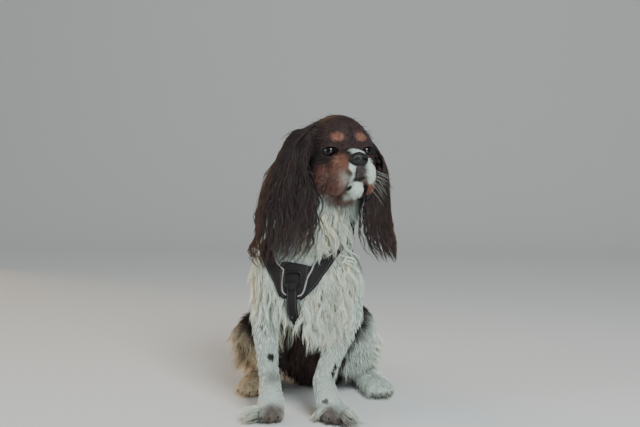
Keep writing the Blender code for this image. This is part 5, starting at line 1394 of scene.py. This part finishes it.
for name, slot, corners, number, lie, length, lift, wave, droop, spread in LOCKS:
    roots = patch_roots(corners, number, rng)
    lies = unit(np.array(lie) + rng.normal(0.0, 0.14, (number, 3)))
    lengths = length * rng.uniform(0.7, 1.2, number)
    guides, faces = follow(
        roots, lies, lengths, np.full(number, lift), 9, skin_field_at, rng, wave, droop, curls=LOCK_CURLS)
    paths, fronts = comb(guides, faces, STRANDS, spread * 1.25, rng, 0.25)
    colours = coat_colours(roots)
    whiteness = (colours.mean(axis=1, keepdims=True) / WHITE.mean()) * rng.beta(1.2, 3.0, (number, 1))
    colours = colours * (1.0 - whiteness) + AGED * whiteness * colours.mean(axis=1, keepdims=True) / AGED.mean()
    colours = np.repeat(colours, STRANDS, axis=0) * lock_shades(number, STRANDS, rng, 0.12)
    maps = nearest_maps(paths[:, 0], rng)
    kept = parted(guides[:, :-2], rng, 0.03).repeat(STRANDS) & parted(paths, rng, 0.06)
    widths = rng.uniform(0.0006, 0.0012, len(paths))
    grow(name, paths[kept], fronts[kept], widths[kept], colours[kept], maps[kept])

# Eyes: large, round and dark, set in tight lids. The ball is glossy and wet, nearly black at the pupil, warm
# brown in the iris and darker again at its rim.
eye_material, eye_shader = new_material(
    "wet_dark_brown_eye", Roughness=0.04, IOR=1.38)
turned_away = new_node(eye_material, "ShaderNodeAttribute", {"attribute_name": "from_pupil"})
iris = new_node(eye_material, "ShaderNodeValToRGB", inputs={"Fac": turned_away.outputs["Fac"]})
iris_stops = ((0.0, "#040303"), (0.36, "#050404"), (0.42, "#1E0F09"), (0.62, "#2C160C"), (0.74, "#090606"), (1.0, "#140D0D"))
for _ in range(len(iris_stops) - 2):
    iris.color_ramp.elements.new(0.5)
for stop, (share, colour) in zip(iris.color_ramp.elements, iris_stops):
    stop.position = share
    stop.color = (*linear(colour), 1.0)
eye_material.node_tree.links.new(iris.outputs["Color"], eye_shader.inputs["Base Color"])
for name, side in (("left", 1), ("right", -1)):
    look = HEAD_TURN @ Matrix.Rotation(side * EYE_OUTWARD, 3, "Z")
    work = bmesh.new()
    bmesh.ops.create_uvsphere(work, u_segments=48, v_segments=32, radius=EYE_RADIUS)
    bmesh.ops.rotate(work, verts=work.verts, matrix=Matrix.Rotation(math.pi / 2, 3, "X"))
    angles = []
    for vertex in work.verts:
        angle = vertex.co.angle(Vector((0, -1, 0)))
        angles.append(min(angle / (math.pi / 2), 1.0))
        # The cornea bulges a little in front of the iris
        vertex.co *= 1.0 + 0.05 * max(math.cos(angle) - 0.80, 0.0) / 0.20
    bmesh.ops.transform(work, matrix=Matrix.Translation(eye_centre(side) + TO_SOLIDS) @ look.to_4x4(), verts=work.verts)
    eye_mesh = bpy.data.meshes.new("eyeball_" + name)
    work.to_mesh(eye_mesh)
    work.free()
    eye_mesh.attributes.new("from_pupil", "FLOAT", "POINT").data.foreach_set("value", angles)
    eye = new_object("eyeball_" + name, eye_mesh, eye_material)
    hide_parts("eye_" + name)
    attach(eye, "root")

# Nose: damp black leather with a fine pebbled grain, wide nostrils that curl open to the sides, and a groove that
# runs down into the lip.
NOSE_SEAT = Vector((0.0, -0.0815, -0.0170))
nose_x, nose_y, nose_z = NOSE_SEAT
nose_parts = [head_ball(nose_x, nose_y, nose_z, (0.0130, 0.0085, 0.0102), 0.003)]
for side in (-1, 1):
    nose_parts.append(head_ball(side * 0.0082, nose_y - 0.0005, nose_z - 0.001, (0.0060, 0.0068, 0.0075), 0.003))
nose_parts.append(Limb(
    [in_head(nose_x, nose_y - 0.003, nose_z - 0.004), in_head(nose_x, nose_y + 0.003, nose_z - 0.016)], (0.004, 0.003), 0.004))
for side in (-1, 1):
    nostril = [in_head(side * 0.0048, nose_y - 0.0085, nose_z - 0.0005), in_head(side * 0.0096, nose_y - 0.0050, nose_z - 0.0025)]
    nose_parts.append(Limb(nostril, (0.0023, 0.0014), 0.001, carve=True))
groove = [in_head(nose_x, nose_y - 0.0095, nose_z - 0.001), in_head(nose_x, nose_y - 0.006, nose_z - 0.012)]
nose_parts.append(Limb(groove, (0.0007, 0.0007), 0.001, carve=True))
nose_field = Flesh(nose_parts, np.array(in_head(*NOSE_SEAT)) - 0.03, np.array(in_head(*NOSE_SEAT)) + 0.03, 0.0005)
nose_points, nose_quads = nose_field.surface()
nose_mesh = bpy.data.meshes.new("nose_leather")
nose_mesh.from_pydata(nose_points + np.array(TO_SOLIDS), [], nose_quads)
nose_material, nose_shader = new_material(
    "damp_nose_leather", Base_Color=(*linear("#140F0E"), 1.0), Roughness=0.48, Specular_IOR_Level=0.4)
nose_place = new_node(nose_material, "ShaderNodeTexCoord")
# Pebbles of nose leather are about 0.8 mm across
pebbles = new_node(nose_material, "ShaderNodeTexVoronoi", {"feature": "DISTANCE_TO_EDGE"}, {
    "Vector": nose_place.outputs["Object"], "Scale": 1250.0})
nose_bump = new_node(nose_material, "ShaderNodeBump", inputs={
    "Strength": 0.5, "Distance": 0.0003, "Height": pebbles.outputs["Distance"]})
nose_material.node_tree.links.new(nose_bump.outputs["Normal"], nose_shader.inputs["Normal"])
nose_piece = new_object("nose_leather", nose_mesh, nose_material)
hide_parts("nose")
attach(nose_piece, "root")

# Claws: dark horn, short and curved, one at the front of each toe.
horn, horn_shader = new_material(
    "dark_claw_horn", Base_Color=(*linear("#2A211F"), 1.0), Roughness=0.35)
horn_place = new_node(horn, "ShaderNodeTexCoord")
# Growth lines about 1 mm apart
layers = new_node(horn, "ShaderNodeTexNoise", inputs={"Vector": horn_place.outputs["Object"], "Scale": 900.0, "Detail": 2.0})
horn_bump = new_node(horn, "ShaderNodeBump", inputs={"Strength": 0.3, "Distance": 0.0002, "Height": layers.outputs["Fac"]})
horn.node_tree.links.new(horn_bump.outputs["Normal"], horn_shader.inputs["Normal"])
claw_points, claw_faces = [], []
paws = list(FRONT_PAWS.values())
for side, knee, hock, toes in HIND_LEGS.values():
    hock, toes = Vector(hock), Vector(toes)
    paws.append((tuple(hock.lerp(toes, 0.78)), math.atan2(toes.x - hock.x, hock.y - toes.y)))
for centre, turn in paws:
    turned = Matrix.Rotation(turn, 3, "Z")
    for x, y in TOES:
        root = Vector(centre) + turned @ Vector((x * 1.06, y - 0.0095, -0.0045))
        for k in range(5):
            share = k / 4
            middle = root + turned @ Vector((0, -0.0085 * share, 0.0010 * share - 0.0055 * share * share))
            middle.z = max(middle.z, 0.0024 - 0.0018 * share)
            radius = 0.0019 * (1.0 - 0.85 * share)
            for j in range(8):
                angle = math.tau * j / 8
                claw_points.append(middle + turned @ Vector((radius * 0.75 * math.cos(angle), 0, radius * math.sin(angle))))
        start = len(claw_points) - 40
        for k in range(4):
            for j in range(8):
                i = (j + 1) % 8
                claw_faces.append((start + k * 8 + j, start + k * 8 + i, start + k * 8 + 8 + i, start + k * 8 + 8 + j))
        claw_faces += [tuple(start + j for j in range(8))[::-1], tuple(start + 32 + j for j in range(8))]
claw_mesh = bpy.data.meshes.new("claws")
claw_mesh.from_pydata([point + TO_SOLIDS for point in claw_points], [], claw_faces)
work = bmesh.new()
work.from_mesh(claw_mesh)
bmesh.ops.recalc_face_normals(work, faces=work.faces)
work.to_mesh(claw_mesh)
work.free()
claws = new_object("claws", claw_mesh, horn)
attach(claws, "root")

# Whiskers and feelers: stiff, smooth single hairs, white from the muzzle and black over the eyes. Loose hairs
# stray from the crown and the rims of the ears.
# Frame, place, heading, length, how many, spread of their roots, width, colour
SINGLE_HAIRS = (
    ("left", (0.026, -0.070, -0.036), (1.0, -0.30, -0.20), 0.034, 6, 0.0055, 0.00026, WHITE),
    ("left", (0.022, -0.066, -0.050), (0.8, -0.30, -1.00), 0.030, 5, 0.0045, 0.00026, WHITE),
    ("right", (-0.010, -0.070, -0.070), (-0.3, -0.5, -0.90), 0.012, 4, 0.0030, 0.00030, WHITE),
    ("left", (0.023, -0.046, 0.0200), (0.45, -1.0, 0.45), 0.021, 11, 0.0050, 0.00050, BLACK),
    ("right", (-0.023, -0.046, 0.0200), (-0.45, -1.0, 0.45), 0.016, 5, 0.0040, 0.00040, BLACK),
    ("head", (0.0, 0.010, 0.058), (-0.4, 0.8, 0.30), 0.017, 60, 0.0180, 0.00040, BLACK),
    ("left", (0.036, 0.006, 0.042), (1.0, 0.2, 0.25), 0.022, 40, 0.0130, 0.00045, BLACK),
    ("right", (-0.036, 0.006, 0.042), (-1.0, 0.2, 0.25), 0.022, 40, 0.0130, 0.00045, BLACK),
)
for index, (where, place, heading, length, number, spread, width, colour) in enumerate(SINGLE_HAIRS):
    roots = np.array(in_head(*place)) + rng.normal(0, spread, (number, 3))
    for _ in range(6):
        roots = roots - slope_of(skin_field_at, roots) * skin_field_at(roots)[:, None]
    roots = roots - slope_of(skin_field_at, roots) * coat_depth(roots)[:, None]
    headings = unit(np.array(HEAD_TURN @ Vector(heading)) + rng.normal(0, 0.22, (number, 3)))
    sizes = length * rng.uniform(0.6, 1.15, number)
    share = np.linspace(0, 1, 7)
    bend = np.array((0, 0, -1.0)) * (0.25 * sizes[:, None, None] * (share**2)[None, :, None])
    paths = roots[:, None] + headings[:, None] * (sizes[:, None] * share)[..., None] + bend
    fronts = np.repeat(unit(np.cross(headings, (0.3, 0.2, 0.9)))[:, None], 7, axis=1)
    grow(f"single_hairs_{where}_{index}", paths, fronts, np.full(number, width),
         np.tile(colour, (number, 1)), nearest_maps(roots, rng))
